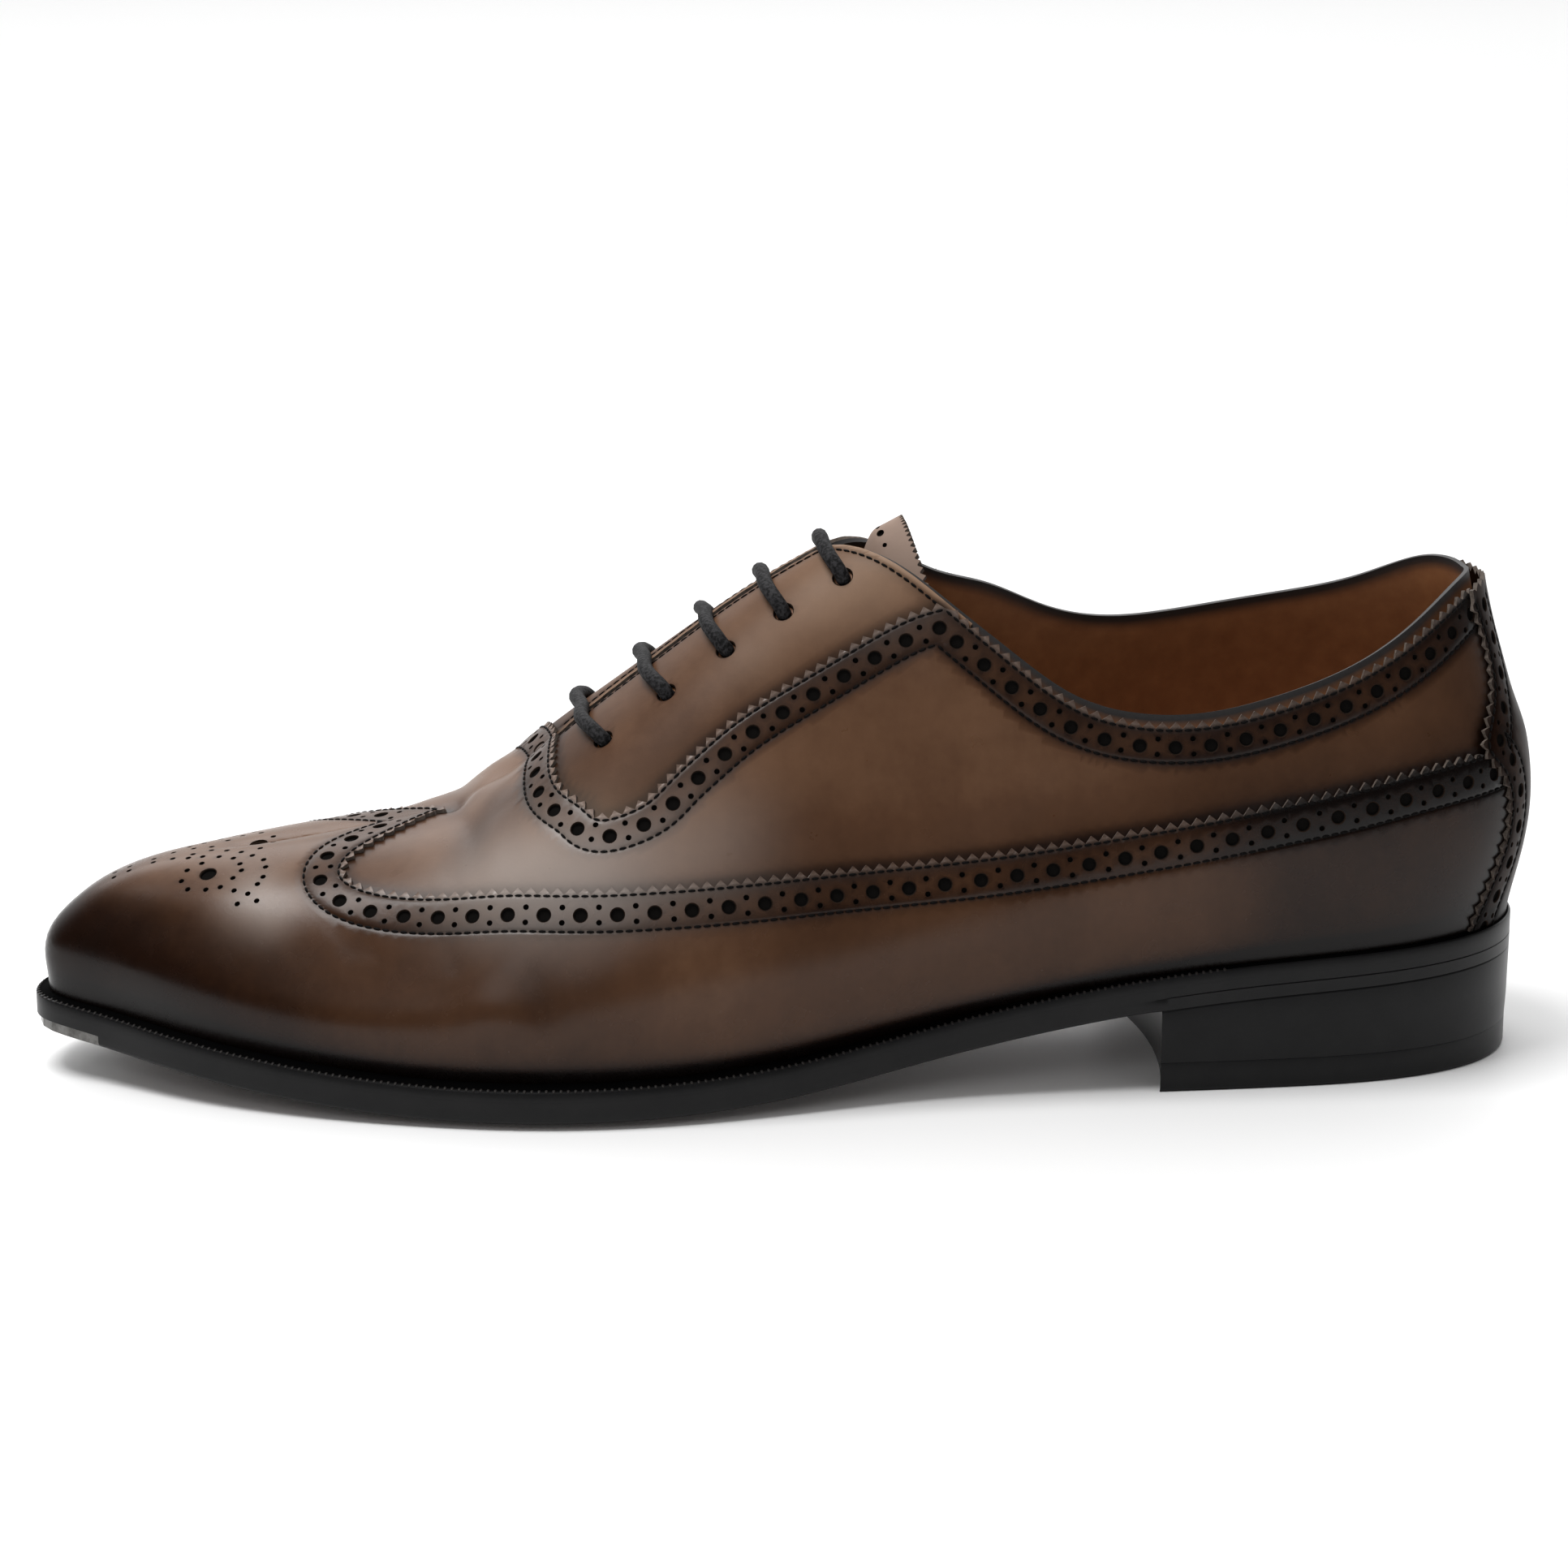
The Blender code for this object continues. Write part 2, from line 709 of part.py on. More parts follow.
OUTSOLE_TOP = 2 * GAP + WELT_THICKNESS
EDGE_BEVEL = 0.7
SEAT_BEVEL = 0.15
BEVEL_RUN = 8.0
CROWN_FROM = 95.0
CROWN_FULL = 150.0


def outsole_bottom(along, beyond, crowned):
    """Ring on the outsole's underside, which is crowned under the forefoot and flat where it stands."""
    ring = sole_ring(along, beyond, OUTSOLE_TOP + OUTSOLE_EDGE)
    share = np.clip((feather_back(along) - CROWN_FROM) / (CROWN_FULL - CROWN_FROM), 0, 1)
    ring[:, 2] -= crowned * OUTSOLE_CROWN * share * share * (3 - 2 * share)
    ring[:, 2] = np.maximum(ring[:, 2], 0.0)
    return ring


def edge_bevel(along):
    """Bevel of the outsole's lower edge, which all but ends where the heel carries it."""
    share = np.clip((feather_back(along) - HEEL_BREAST) / BEVEL_RUN, 0, 1)
    return SEAT_BEVEL + (EDGE_BEVEL - SEAT_BEVEL) * share


def outsole(finish):
    along = full_round()
    reach = welt_reach(feather_back(along))
    bevel = edge_bevel(along)
    rings = [
        outsole_bottom(along, reach - CROWN_INSET, 1.0),
        outsole_bottom(along, reach - bevel, 0.0),
        sole_ring(along, reach, OUTSOLE_TOP + OUTSOLE_EDGE - bevel),
        sole_ring(along, reach, OUTSOLE_TOP),
    ]
    caps = ladder(len(along) // 2)
    made = piece("outsole", *stacked(rings, caps, caps), finish)
    pocket = plate_sections(PLATE_SPAN + PLATE_END_GAP, CUT_OVERRUN, GAP, PLATE_THICKNESS + GAP)
    return cut_away(made, *bar_solid(pocket), "MANIFOLD")


PLATE_STEPS = 12
PLATE_END_GAP = 0.0012
CUT_OVERRUN = 3.0


def plate_sections(span, overrun, back_gap, rise):
    """Four-cornered sections of the toe plate from its round front to its straight back edge."""
    along = np.linspace(1 - span, 1 + span, PLATE_STEPS + 1)
    reach = welt_reach(feather_back(along)) - EDGE_BEVEL
    front = outsole_bottom(along, reach, 0.0)
    back = front.copy()
    back[:, 0] = front[:, 0].max() + PLATE_LAP + back_gap
    crowned = np.clip((back - front)[:, 0] / CROWN_INSET, 0, 1)
    back[:, 2] = seat_height(HEEL_X - back[:, 0]) - OUTSOLE_TOP - OUTSOLE_EDGE - OUTSOLE_CROWN * crowned
    front = front + overrun * unit(front - back)
    low, high = np.array([0, 0, overrun]), np.array([0, 0, rise])
    return np.stack([front - low, back - low, back + high, front + high], 1)


def bar_solid(corners):
    """Points and faces of a bar through four-cornered sections, with closed ends."""
    count = len(corners)
    faces = [(0, 1, 2, 3), tuple(4 * (count - 1) + i for i in (3, 2, 1, 0))]
    for i in range(count - 1):
        for corner in range(4):
            after = (corner + 1) % 4
            faces.append((4 * i + corner, 4 * i + 4 + corner, 4 * i + 4 + after, 4 * i + after))
    return corners.reshape(-1, 3), faces


def toe_plate(finish):
    sections = plate_sections(PLATE_SPAN, 0.0, 0.0, PLATE_THICKNESS)
    return piece("toe_plate", *bar_solid(sections), finish)


def insole(finish):
    along = full_round()
    rings = [
        sole_ring(along, INSOLE_INSET, GAP + WELT_THICKNESS),
        sole_ring(along, INSOLE_INSET, -INSOLE_RISE),
    ]
    caps = ladder(len(along) // 2)
    return piece("insole", *stacked(rings, caps, caps), finish)


HEEL_STEPS = 14
HEEL_CROWDING = 1.5
BREAST_STEPS = 5
HEEL_TAPER = 0.4
SEARCH_STEPS = 400


def heel_ring(height, taper):
    """Heel outline at a level: round the seat to the breast, then the hollow breast line.

    height None is the underside of the outsole, less the gap."""
    places = np.linspace(0, 1, SEARCH_STEPS + 1)
    breast = np.interp(HEEL_BREAST, feather_back(places), places)
    side = breast * np.linspace(0, 1, HEEL_STEPS) ** HEEL_CROWDING
    along = np.concatenate([side, 2 - side[:0:-1]])
    reach = welt_reach(feather_back(along)) - taper
    ring = sole_ring(along, reach, OUTSOLE_TOP + OUTSOLE_EDGE + GAP)
    lateral, medial = ring[HEEL_STEPS - 1], ring[HEEL_STEPS]
    share = np.linspace(0, 1, BREAST_STEPS + 2)[1:-1, None]
    hollow = lateral * (1 - share) + medial * share
    hollow[:, 0] += (BREAST_HOLLOW * 4 * share * (1 - share))[:, 0]
    hollow[:, 2] = seat_height(HEEL_X - hollow[:, 0]) - OUTSOLE_TOP - OUTSOLE_EDGE - GAP
    ring = np.vstack([ring[:HEEL_STEPS], hollow, ring[HEEL_STEPS:]])
    if height is not None:
        ring[:, 2] = height
    return ring


def heel_caps():
    """Faces across the heel ring: strips from side to side, then one face up to the breast."""
    count = 2 * HEEL_STEPS - 1 + BREAST_STEPS
    faces = [(0, 1, count - 1)]
    for i in range(1, HEEL_STEPS - 2):
        faces.append((i, i + 1, count - i - 1, count - i))
    start = HEEL_STEPS - 2
    faces.append(tuple(range(start, count - start + 1)))
    return faces


def heel(stack_finish, top_piece_finish):
    caps = heel_caps()
    low = [heel_ring(0.0, HEEL_TAPER), heel_ring(TOP_PIECE, HEEL_TAPER)]
    high = [heel_ring(TOP_PIECE + GAP, HEEL_TAPER), heel_ring(None, 0.0)]
    piece("heel_top_piece", *stacked(low, caps, caps), top_piece_finish)
    piece("heel_stack", *stacked(high, caps, caps), stack_finish)


TONGUE_TOP = 44.5
TONGUE_TOP_DEPTH = 3.4
TONGUE_SIDE_TOP = 42.3
TONGUE_SIDE_DEPTH = 5.6
TONGUE_FRONT = 70.0
TONGUE_EDGE_UP = 66.0
TONGUE_THICKNESS = 1.5
TONGUE_DEPTH = 8.8
TONGUE_RISE_FROM = 48.6
TONGUE_RIDGE_RISE = 2.6
TONGUE_SIDE_RISE = 6.3
TONGUE_CROWDING = 1.5
TONGUE_ROWS = 11
TONGUE_COLUMNS = 10


def tongue_run(top, top_depth, rise):
    """Places along from the tongue's free end, where they crowd, to its front, and the depth there."""
    share = np.linspace(0, 1, TONGUE_ROWS + 1) ** TONGUE_CROWDING
    along = top + (TONGUE_FRONT - top) * share
    free = np.clip((TONGUE_RISE_FROM - along) / rise, 0, 1)
    return along / 100, TONGUE_DEPTH + (top_depth - TONGUE_DEPTH) * free * free * (3 - 2 * free)


def tongue(finish):
    """A strip under the lace, arched from side to side, that rises to its hollow free end."""
    ridge, ridge_depth = tongue_run(TONGUE_TOP, TONGUE_TOP_DEPTH, TONGUE_RIDGE_RISE)
    side, side_depth = tongue_run(TONGUE_SIDE_TOP, TONGUE_SIDE_DEPTH, TONGUE_SIDE_RISE)
    side_up, ridge_up = np.full_like(side, TONGUE_EDGE_UP / 100), np.ones_like(ridge)
    share = np.linspace(-1, 1, TONGUE_COLUMNS + 1)[:, None, None]
    sheets = []
    for below in (0.0, TONGUE_THICKNESS):
        lateral = skin(side, side_up, -side_depth - below)
        medial = skin(2 - side, side_up, -side_depth - below)
        middle = skin(ridge, ridge_up, -ridge_depth - below)
        sides = lateral * share * (share - 1) / 2 + medial * share * (share + 1) / 2
        sheets.append((sides + middle * (1 - share**2)).reshape(-1, 3))
    faces = []
    rows = TONGUE_ROWS + 1
    for column in range(TONGUE_COLUMNS):
        for row in range(TONGUE_ROWS):
            here = column * rows + row
            faces.append((here, here + 1, here + rows + 1, here + rows))
    return piece("tongue", *shell(sheets[0], sheets[1], faces), finish)


LACE_OVER = WALL_OUTER + GAP + LACE_DIAMETER / 2
LACE_UNDER = WALL_INNER - GAP - LACE_DIAMETER / 2
LACE_FORWARD = 1.55
LACE_FORWARD_STEP = 0.19
LACE_POINTS = 66
# Half a bar: share of the way from the ridge to the eyelet, and height over the vamp's face
Dip = namedtuple("Dip", "share lift")
LACE_DIPS = (
    Dip(1.0, LACE_UNDER + 0.1),
    Dip(1.0, -2.2),
    Dip(0.98, -0.4),
    Dip(0.84, LACE_OVER + 0.25),
    Dip(0.5, LACE_OVER + 0.2),
    Dip(0.0, LACE_OVER + 0.1),
)


def lace_bar(along, up, forward):
    """Points of one bar, from inside the lateral eyelet over the facings to inside the medial one."""
    half = []
    for dip in LACE_DIPS:
        place = along + forward / 100 * (1 - dip.share**2)
        half.append((place, 1 - (1 - up) * dip.share, dip.lift))
    other = [(2 - place, height, lift) for place, height, lift in reversed(half[:-1])]
    route = np.array(half + other)
    return skin(route[:, 0], route[:, 1], route[:, 2])


def lace(finish):
    """One cord: bars over the facings, joined under them by runs to the next eyelet."""
    route = []
    for i, (along, up) in enumerate(eyelet_places()[::-1]):
        forward = LACE_FORWARD + LACE_FORWARD_STEP * (EYELETS - 1 - i)
        bar = lace_bar(along, up, forward)
        route.append(bar if i % 2 else bar[::-1])
    points = np.vstack(route)
    steps = np.linalg.norm(np.diff(points, axis=0), axis=1)
    knots = np.concatenate([[0.0], np.cumsum(np.sqrt(steps))])
    smooth = spline(knots, points)(np.linspace(0, knots[-1], LACE_POINTS))
    cord = bpy.data.curves.new("lace", "CURVE")
    cord.dimensions = "3D"
    cord.bevel_depth = LACE_DIAMETER / 2 * MM
    cord.bevel_resolution = 2
    cord.use_fill_caps = True
    path = cord.splines.new("POLY")
    path.points.add(LACE_POINTS - 1)
    for point, place in zip(path.points, smooth * MM):
        point.co = (*place, 1.0)
    made = bpy.data.objects.new("lace", cord)
    cord.materials.append(finish)
    bpy.context.scene.collection.objects.link(made)
    return made


TAN = (0.16, 0.085, 0.045)
BROWN = (0.11, 0.06, 0.035)
DARK = (0.06, 0.03, 0.018)
NATURAL = (0.35, 0.2, 0.1)
BLACK = (0.012, 0.011, 0.011)
CORD = (0.02, 0.019, 0.02)
STEEL = (0.55, 0.54, 0.52)


def main():
    for left in list(bpy.data.objects):
        bpy.data.objects.remove(left, do_unlink=True)
    upper(material("facing_leather", TAN, 0.4))
    layer("vamp_quarter", vamp_quarter_outlines(), VAMP_FACE, material("vamp_leather", TAN, 0.38))
    layer("longwing", [longwing_outline()], WING_FACE, material("wing_leather", DARK, 0.35))
    layer("heel_strap", [strap_outline()], STRAP_FACE, material("strap_leather", DARK, 0.4))
    tongue(material("tongue_leather", BROWN, 0.5))
    lace(material("waxed_cotton", CORD, 0.6))
    insole(material("insole_leather", NATURAL, 0.6))
    welt(material("welt_leather", BLACK, 0.4))
    outsole(material("sole_leather", BLACK, 0.45))
    toe_plate(material("plate_steel", STEEL, 0.35, metallic=1.0))
    heel(material("heel_leather", BLACK, 0.4), material("top_piece_rubber", BLACK, 0.6))


main()
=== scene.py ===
# %% [markdown]
# # A longwing oxford, worn and polished
#
# The shoe is built as a shoemaker would see it: one smooth last, thin leather panels laid over it
# with overlapping edges, rows of stitches and punched holes that follow those edges, then welt, sole
# and heel. Every piece hangs on the same last as the CAD part, so the panels that replace its solids
# keep their form. The toe points to -X and the lateral side, which the camera sees, to -Y.
# Inside the script sizes are in millimetres.

import json
import math
from collections import namedtuple

import bpy
import numpy as np
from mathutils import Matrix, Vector
from mathutils.geometry import delaunay_2d_cdt
from mathutils.kdtree import KDTree

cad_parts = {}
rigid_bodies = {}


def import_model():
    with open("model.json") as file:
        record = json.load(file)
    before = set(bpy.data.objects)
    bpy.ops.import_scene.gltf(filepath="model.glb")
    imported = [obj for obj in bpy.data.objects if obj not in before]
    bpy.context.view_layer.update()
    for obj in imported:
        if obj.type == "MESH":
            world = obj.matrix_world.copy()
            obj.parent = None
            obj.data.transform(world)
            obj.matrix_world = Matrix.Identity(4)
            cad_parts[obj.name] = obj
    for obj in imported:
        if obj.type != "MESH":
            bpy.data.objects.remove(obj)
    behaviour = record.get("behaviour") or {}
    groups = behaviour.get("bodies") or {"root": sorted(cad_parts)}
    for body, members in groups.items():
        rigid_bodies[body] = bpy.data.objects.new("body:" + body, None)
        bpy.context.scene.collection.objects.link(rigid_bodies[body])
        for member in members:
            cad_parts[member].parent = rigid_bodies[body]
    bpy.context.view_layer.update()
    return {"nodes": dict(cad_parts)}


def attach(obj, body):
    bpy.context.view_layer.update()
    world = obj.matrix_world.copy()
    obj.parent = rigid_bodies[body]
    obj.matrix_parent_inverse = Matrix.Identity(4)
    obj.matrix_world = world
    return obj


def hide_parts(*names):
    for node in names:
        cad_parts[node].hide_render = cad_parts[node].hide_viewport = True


for left in list(bpy.data.objects):
    bpy.data.objects.remove(left, do_unlink=True)
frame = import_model()
MM = 0.001
print("CAD nodes:", ", ".join(sorted(frame["nodes"])))

# %% [markdown]
# ## The last
#
# A shoe gets its form from the wooden last that it is pulled over. A place on it is (along, up):
# along runs round the feather line from the heel back (0) by the lateral side to the toe tip (1) and
# back by the medial side (2), and up runs from the feather line (0) to the ridge (1). It could be
# sculpted by eye, but section rows joined by splines are the form that the solids have, so the same
# rows are repeated here.

# %% Sizes and section rows
# Driving sizes of the last
LAST_LENGTH = 297.0
BALL_WIDTH = 90.0
INSTEP_HEIGHT = 104.0
HEEL_HEIGHT = 28.5

# Where the heel end and the heel axis stand, so that the shoe is centred on the origin
HEEL_X = 150.15
AXIS_Y = -5.9

# Walls and layers, as distances outwards from the outer face of the vamp
WALL_OUTER = -1.3
WALL_INNER = -2.9
LAYER_UNDERSIDE = -0.85
VAMP_FACE = 0.0
WING_FACE = 1.0
GAP = 0.3

# Sole
WELT_THICKNESS = 2.2
OUTSOLE_EDGE = 4.2
OUTSOLE_CROWN = 1.4
CROWN_INSET = 11.0
WELT_INNER = -3.6
HEEL_BREAST = 80.0
BREAST_HOLLOW = 4.0
TOP_PIECE = 6.0
PLATE_THICKNESS = 2.0
PLATE_SPAN = 0.062
PLATE_LAP = 2.0

# Throat, eyelets and lace
FACING_GAP = 3.0
EYELETS = 5
EYELET_PITCH = 4.05
EYELET_TOP = (47.8, 76.0)
EYELET_DROP = 1.2
LACE_DIAMETER = 3.0

# Section rows. Hundredths of the last's length: along, apex (where the section meets the ridge).
# Hundredths of the ball width: lateral and medial feather distance from the heel axis.
# side and crown are the powers of the section's round, bulge is its overhang in millimetres.
Section = namedtuple("Section", "along lateral medial apex side crown bulge")
SECTIONS = (
    Section(1.7, 0.0, 0.0, 15.2, 2.0, 2.0, 4.6),
    Section(2.5, 12.2, 12.2, 15.3, 2.0, 2.0, 4.6),
    Section(4.5, 21.1, 21.1, 15.8, 2.0, 2.0, 4.6),
    Section(8.1, 28.4, 28.4, 17.2, 2.0, 2.0, 4.2),
    Section(12.8, 32.6, 32.6, 19.2, 2.0, 2.0, 3.6),
    Section(19.2, 34.2, 33.0, 22.9, 1.9, 2.0, 3.4),
    Section(26.6, 34.4, 30.4, 28.3, 1.8, 1.9, 3.8),
    Section(35.0, 34.0, 26.4, 35.0, 1.7, 1.8, 4.4),
    Section(43.8, 35.0, 28.9, 42.4, 1.7, 1.8, 5.0),
    Section(52.5, 40.0, 38.9, 50.2, 1.7, 1.9, 4.0),
    Section(60.6, 43.9, 50.0, 57.2, 1.75, 2.0, 3.0),
    Section(68.4, 43.3, 56.7, 64.3, 1.8, 2.0, 2.5),
    Section(76.1, 37.8, 56.1, 70.7, 1.9, 2.1, 2.0),
    Section(83.8, 28.9, 50.0, 76.4, 2.0, 2.2, 1.6),
    Section(90.9, 16.7, 40.6, 80.8, 2.0, 2.6, 1.5),
    Section(96.1, 4.4, 28.9, 83.5, 2.0, 2.95, 1.3),
    Section(99.0, -2.2, 20.0, 84.8, 2.0, 3.1, 1.2),
    Section(100.0, -8.9, 8.9, 85.2, 2.0, 3.1, 1.2),
)

# Long profile, hundredths of the last's length against hundredths of the heel height (seat),
# of the instep height (crown) and of the ball width (axis of the ridge, to the medial side).
Height = namedtuple("Height", "along height")
SEAT = (
    Height(0.0, 100.0),
    Height(13.5, 94.7),
    Height(24.9, 86.0),
    Height(33.7, 72.0),
    Height(42.1, 54.4),
    Height(50.5, 38.6),
    Height(58.9, 30.9),
    Height(67.3, 28.8),
    Height(75.8, 30.2),
    Height(84.2, 36.8),
    Height(92.6, 47.4),
    Height(101.0, 57.9),
)
CROWN = (
    Height(13.5, 151.0),
    Height(23.6, 137.5),
    Height(33.7, 123.0),
    Height(43.8, 107.7),
    Height(48.8, 100.0),
    Height(53.9, 90.9),
    Height(59.9, 78.0),
    Height(66.0, 63.8),
    Height(69.4, 55.0),
    Height(72.7, 49.6),
    Height(79.1, 45.0),
    Height(85.2, 41.6),
)
Axis = namedtuple("Axis", "along offset")
AXIS = (
    Axis(0.0, 0.0),
    Axis(20.2, 0.0),
    Axis(33.7, 1.1),
    Axis(50.5, 3.9),
    Axis(67.3, 6.7),
    Axis(84.2, 8.9),
    Axis(101.0, 8.9),
)
# Reach of the welt beyond the feather line, in millimetres
Reach = namedtuple("Reach", "along beyond")
WELT_REACH = (
    Reach(0.0, 2.6),
    Reach(8.0, 2.9),
    Reach(18.0, 3.0),
    Reach(26.0, 3.1),
    Reach(36.0, 3.4),
    Reach(52.0, 4.6),
    Reach(64.0, 5.2),
    Reach(84.0, 4.8),
    Reach(100.0, 3.6),
)

# Pattern lines drawn on the last, in hundredths along and up
Place = namedtuple("Place", "along up")
COLLAR_LATERAL = (
    Place(0.0, 36.5),
    Place(6.2, 36.2),
    Place(11.1, 32.9),
    Place(16.0, 29.8),
    Place(20.0, 28.5),
    Place(24.7, 29.0),
    Place(29.0, 32.0),
    Place(33.0, 37.6),
    Place(37.0, 47.6),
    Place(40.7, 59.1),
    Place(44.7, 74.5),
    Place(47.8, 88.0),
    Place(51.0, 104.0),
)
COLLAR_MEDIAL = (
    Place(0.0, 36.5),
    Place(6.2, 36.4),
    Place(11.1, 34.2),
    Place(16.0, 33.3),
    Place(20.0, 33.6),
    Place(24.7, 35.3),
    Place(29.0, 38.7),
    Place(33.0, 44.6),
    Place(37.0, 53.0),
    Place(40.7, 60.5),
    Place(44.7, 74.5),
    Place(47.8, 88.0),
    Place(51.0, 104.0),
)
WING_EDGE = (
    Place(8.3, 18.9),
    Place(13.0, 18.5),
    Place(18.0, 17.6),
    Place(23.0, 17.6),
    Place(29.5, 19.2),
    Place(39.2, 22.5),
    Place(49.3, 26.2),
    Place(56.7, 28.8),
    Place(64.9, 36.2),
    Place(72.2, 46.7),
    Place(77.3, 53.6),
    Place(80.1, 59.6),
    Place(81.2, 67.0),
    Place(80.9, 76.5),
    Place(79.4, 87.0),
    Place(77.0, 100.0),
)
THROAT_EDGE = (
    Place(68.4, 100.0),
    Place(67.5, 78.0),
    Place(65.8, 60.5),
    Place(64.0, 52.0),
    Place(62.2, 48.1),
    Place(60.7, 47.7),
    Place(59.2, 49.6),
    Place(57.5, 52.0),
    Place(55.0, 54.8),
    Place(50.7, 57.2),
    Place(46.3, 59.2),
    Place(43.2, 60.0),
    Place(40.8, 59.1),
)
STRAP_EDGE = (
    Place(7.9, 0.0),
    Place(6.9, 6.0),
    Place(6.3, 12.0),
    Place(7.0, 16.5),
    Place(8.0, 19.0),
    Place(6.6, 23.0),
    Place(5.4, 27.0),
    Place(5.4, 31.5),
    Place(6.3, 36.6),
)

# %% [markdown]
# The rows become smooth curves, and a section is a rounded corner with a power on each side, which
# bulges a little over the feather line as leather on a last does.

# %% The last as a function
def spline(knots, values, closed=False):
    """Smooth curve through values at rising knots, with even bending at every knot."""
    knots = np.asarray(knots, float)
    values = np.asarray(values, float)
    if values.ndim == 1:
        values = values[:, None]
    count = len(knots)
    spans = np.diff(knots)
    slopes = np.diff(values, axis=0) / spans[:, None]
    matrix = np.zeros((count, count))
    right = np.zeros_like(values)
    for i in range(1, count - 1):
        matrix[i, i - 1 : i + 2] = spans[i - 1], 2 * (spans[i - 1] + spans[i]), spans[i]
        right[i] = 6 * (slopes[i] - slopes[i - 1])
    if closed:
        matrix[0, 0] = 2 * (spans[-1] + spans[0])
        matrix[0, 1] = spans[0]
        matrix[0, -2] = spans[-1]
        right[0] = 6 * (slopes[0] - slopes[-1])
        matrix[-1, 0] = 1
        matrix[-1, -1] = -1
    else:
        matrix[0, 0] = matrix[-1, -1] = 1
    bends = np.linalg.solve(matrix, right)

    def curve(place):
        place = np.asarray(place, float)
        i = np.clip(np.searchsorted(knots, place, side="right") - 1, 0, count - 2)
        span = spans[i][..., None]
        after = (place - knots[i])[..., None]
        before = span - after
        bend = (bends[i] * before**3 + bends[i + 1] * after**3) / (6 * span)
        start = (values[i] / span - bends[i] * span / 6) * before
        end = (values[i + 1] / span - bends[i + 1] * span / 6) * after
        return bend + start + end

    return curve


def profile(rows, unit, along_unit=LAST_LENGTH / 100):
    """Smooth single value over the distance from the heel, held level past its ends."""
    knots = [row[0] * along_unit for row in rows]
    curve = spline(knots, [row[1] * unit for row in rows])
    return lambda along: curve(np.clip(along, knots[0], knots[-1]))[..., 0]


seat_height = profile(SEAT, HEEL_HEIGHT / 100)
crown_height = profile(CROWN, INSTEP_HEIGHT / 100)
axis_offset = profile(AXIS, BALL_WIDTH / 100)


def section_loop():
    """The section rows as one closed curve round the feather line, over 0 to 2."""
    length, width = LAST_LENGTH / 100, BALL_WIDTH / 100
    sides = []
    for sign, side in ((-1, "lateral"), (1, "medial")):
        rows = []
        for row in SECTIONS:
            across = sign * getattr(row, side) * width
            rows.append((row.along * length, across, row.apex * length, row.side, row.crown, row.bulge))
        sides.append(np.array(rows))
    steps = [np.hypot(*np.diff(side[:, :2], axis=0).T) for side in sides]
    half = np.concatenate([[0.0], np.cumsum(steps[0] + steps[1])])
    half /= half[-1]
    knots = np.concatenate([half, 2 - half[-2::-1]])
    return spline(knots, np.vstack([sides[0], sides[1][-2::-1]]), closed=True)


section_at = section_loop()
BULGE_PEAK = 0.14
BULGE_END = 0.36


def bulge_share(up):
    """Overhang above the feather line: none at the feather, full at the peak, none past the end."""
    power = math.log(0.5) / math.log(BULGE_PEAK / BULGE_END)
    return np.sin(np.pi * np.clip(up / BULGE_END, 0, 1) ** power) ** 2


def from_heel(along):
    """Place along as counted from the heel back, the same on both sides."""
    return np.minimum(along % 2, 2 - along % 2)


def last(along, up):
    """Points of the last at places (along, up), which may be arrays."""
    along, up = np.broadcast_arrays(np.asarray(along, float), np.asarray(up, float))
    back, across, apex, side, crown, bulge = np.moveaxis(section_at(along % 2), -1, 0)
    turn = np.clip(up, 0, 1) * np.pi / 2
    inwards = 1 - np.maximum(np.cos(turn), 0) ** (2 / side)
    upwards = np.sin(turn) ** (2 / crown)
    to_apex, to_ridge = apex - back, axis_offset(apex) - across
    reach = np.hypot(to_apex, to_ridge)
    inwards = inwards - bulge * bulge_share(up) / reach
    floor, top = seat_height(back), crown_height(apex)
    x = HEEL_X - (back + to_apex * inwards)
    y = AXIS_Y + across + to_ridge * inwards
    return np.stack([x, y, floor + (top - floor) * upwards], -1)

# %% [markdown]
# Leather lies at a small distance outside or inside the last, so each place needs a normal too. It
# comes from two short steps over the surface, and on the ridge both sides share one.

# %% Normals and lifted points
ALONG_STEP = 1e-4
UP_STEP = 2e-3


def unit(vectors):
    return vectors / np.linalg.norm(vectors, axis=-1, keepdims=True)


def outward(along, up):
    """Unit normals of the last, pointing out; on the ridge both sides share one."""
    inner = np.clip(up, UP_STEP / 2, 1 - UP_STEP / 2)
    above, below = np.minimum(inner + UP_STEP, 1), np.maximum(inner - UP_STEP, 0)

    def normals(place):
        round_the_last = last(place + ALONG_STEP, inner) - last(place - ALONG_STEP, inner)
        return unit(np.cross(last(place, above) - last(place, below), round_the_last))

    normal = normals(along)
    on_ridge = np.asarray(up) > 1 - ALONG_STEP
    return unit(np.where(on_ridge[..., None], normal + normals(2 - along), normal))


def skin(along, up, lift):
    """Points at a distance outwards from the last; both sides share those on the ridge."""
    along, up = np.broadcast_arrays(np.asarray(along, float), np.asarray(up, float))
    along = np.where(up > 1 - ALONG_STEP, from_heel(along), along)
    return last(along, up) + outward(along, up) * np.asarray(lift, float)[..., None]

# %% [markdown]
# Pattern lines become splines as well. The upper's free edge follows the collar and then the edge of
# the facing, with a soft corner where they meet, and in front of the throat it is the ridge itself.

# %% Pattern lines
def line(places, count):
    """Even points along a pattern line, as (along, up)."""
    points = np.array(places, float) / 100
    steps = np.hypot(*np.diff(points, axis=0).T)
    knots = np.concatenate([[0.0], np.cumsum(steps)])
    return spline(knots, points)(np.linspace(0, knots[-1], count))


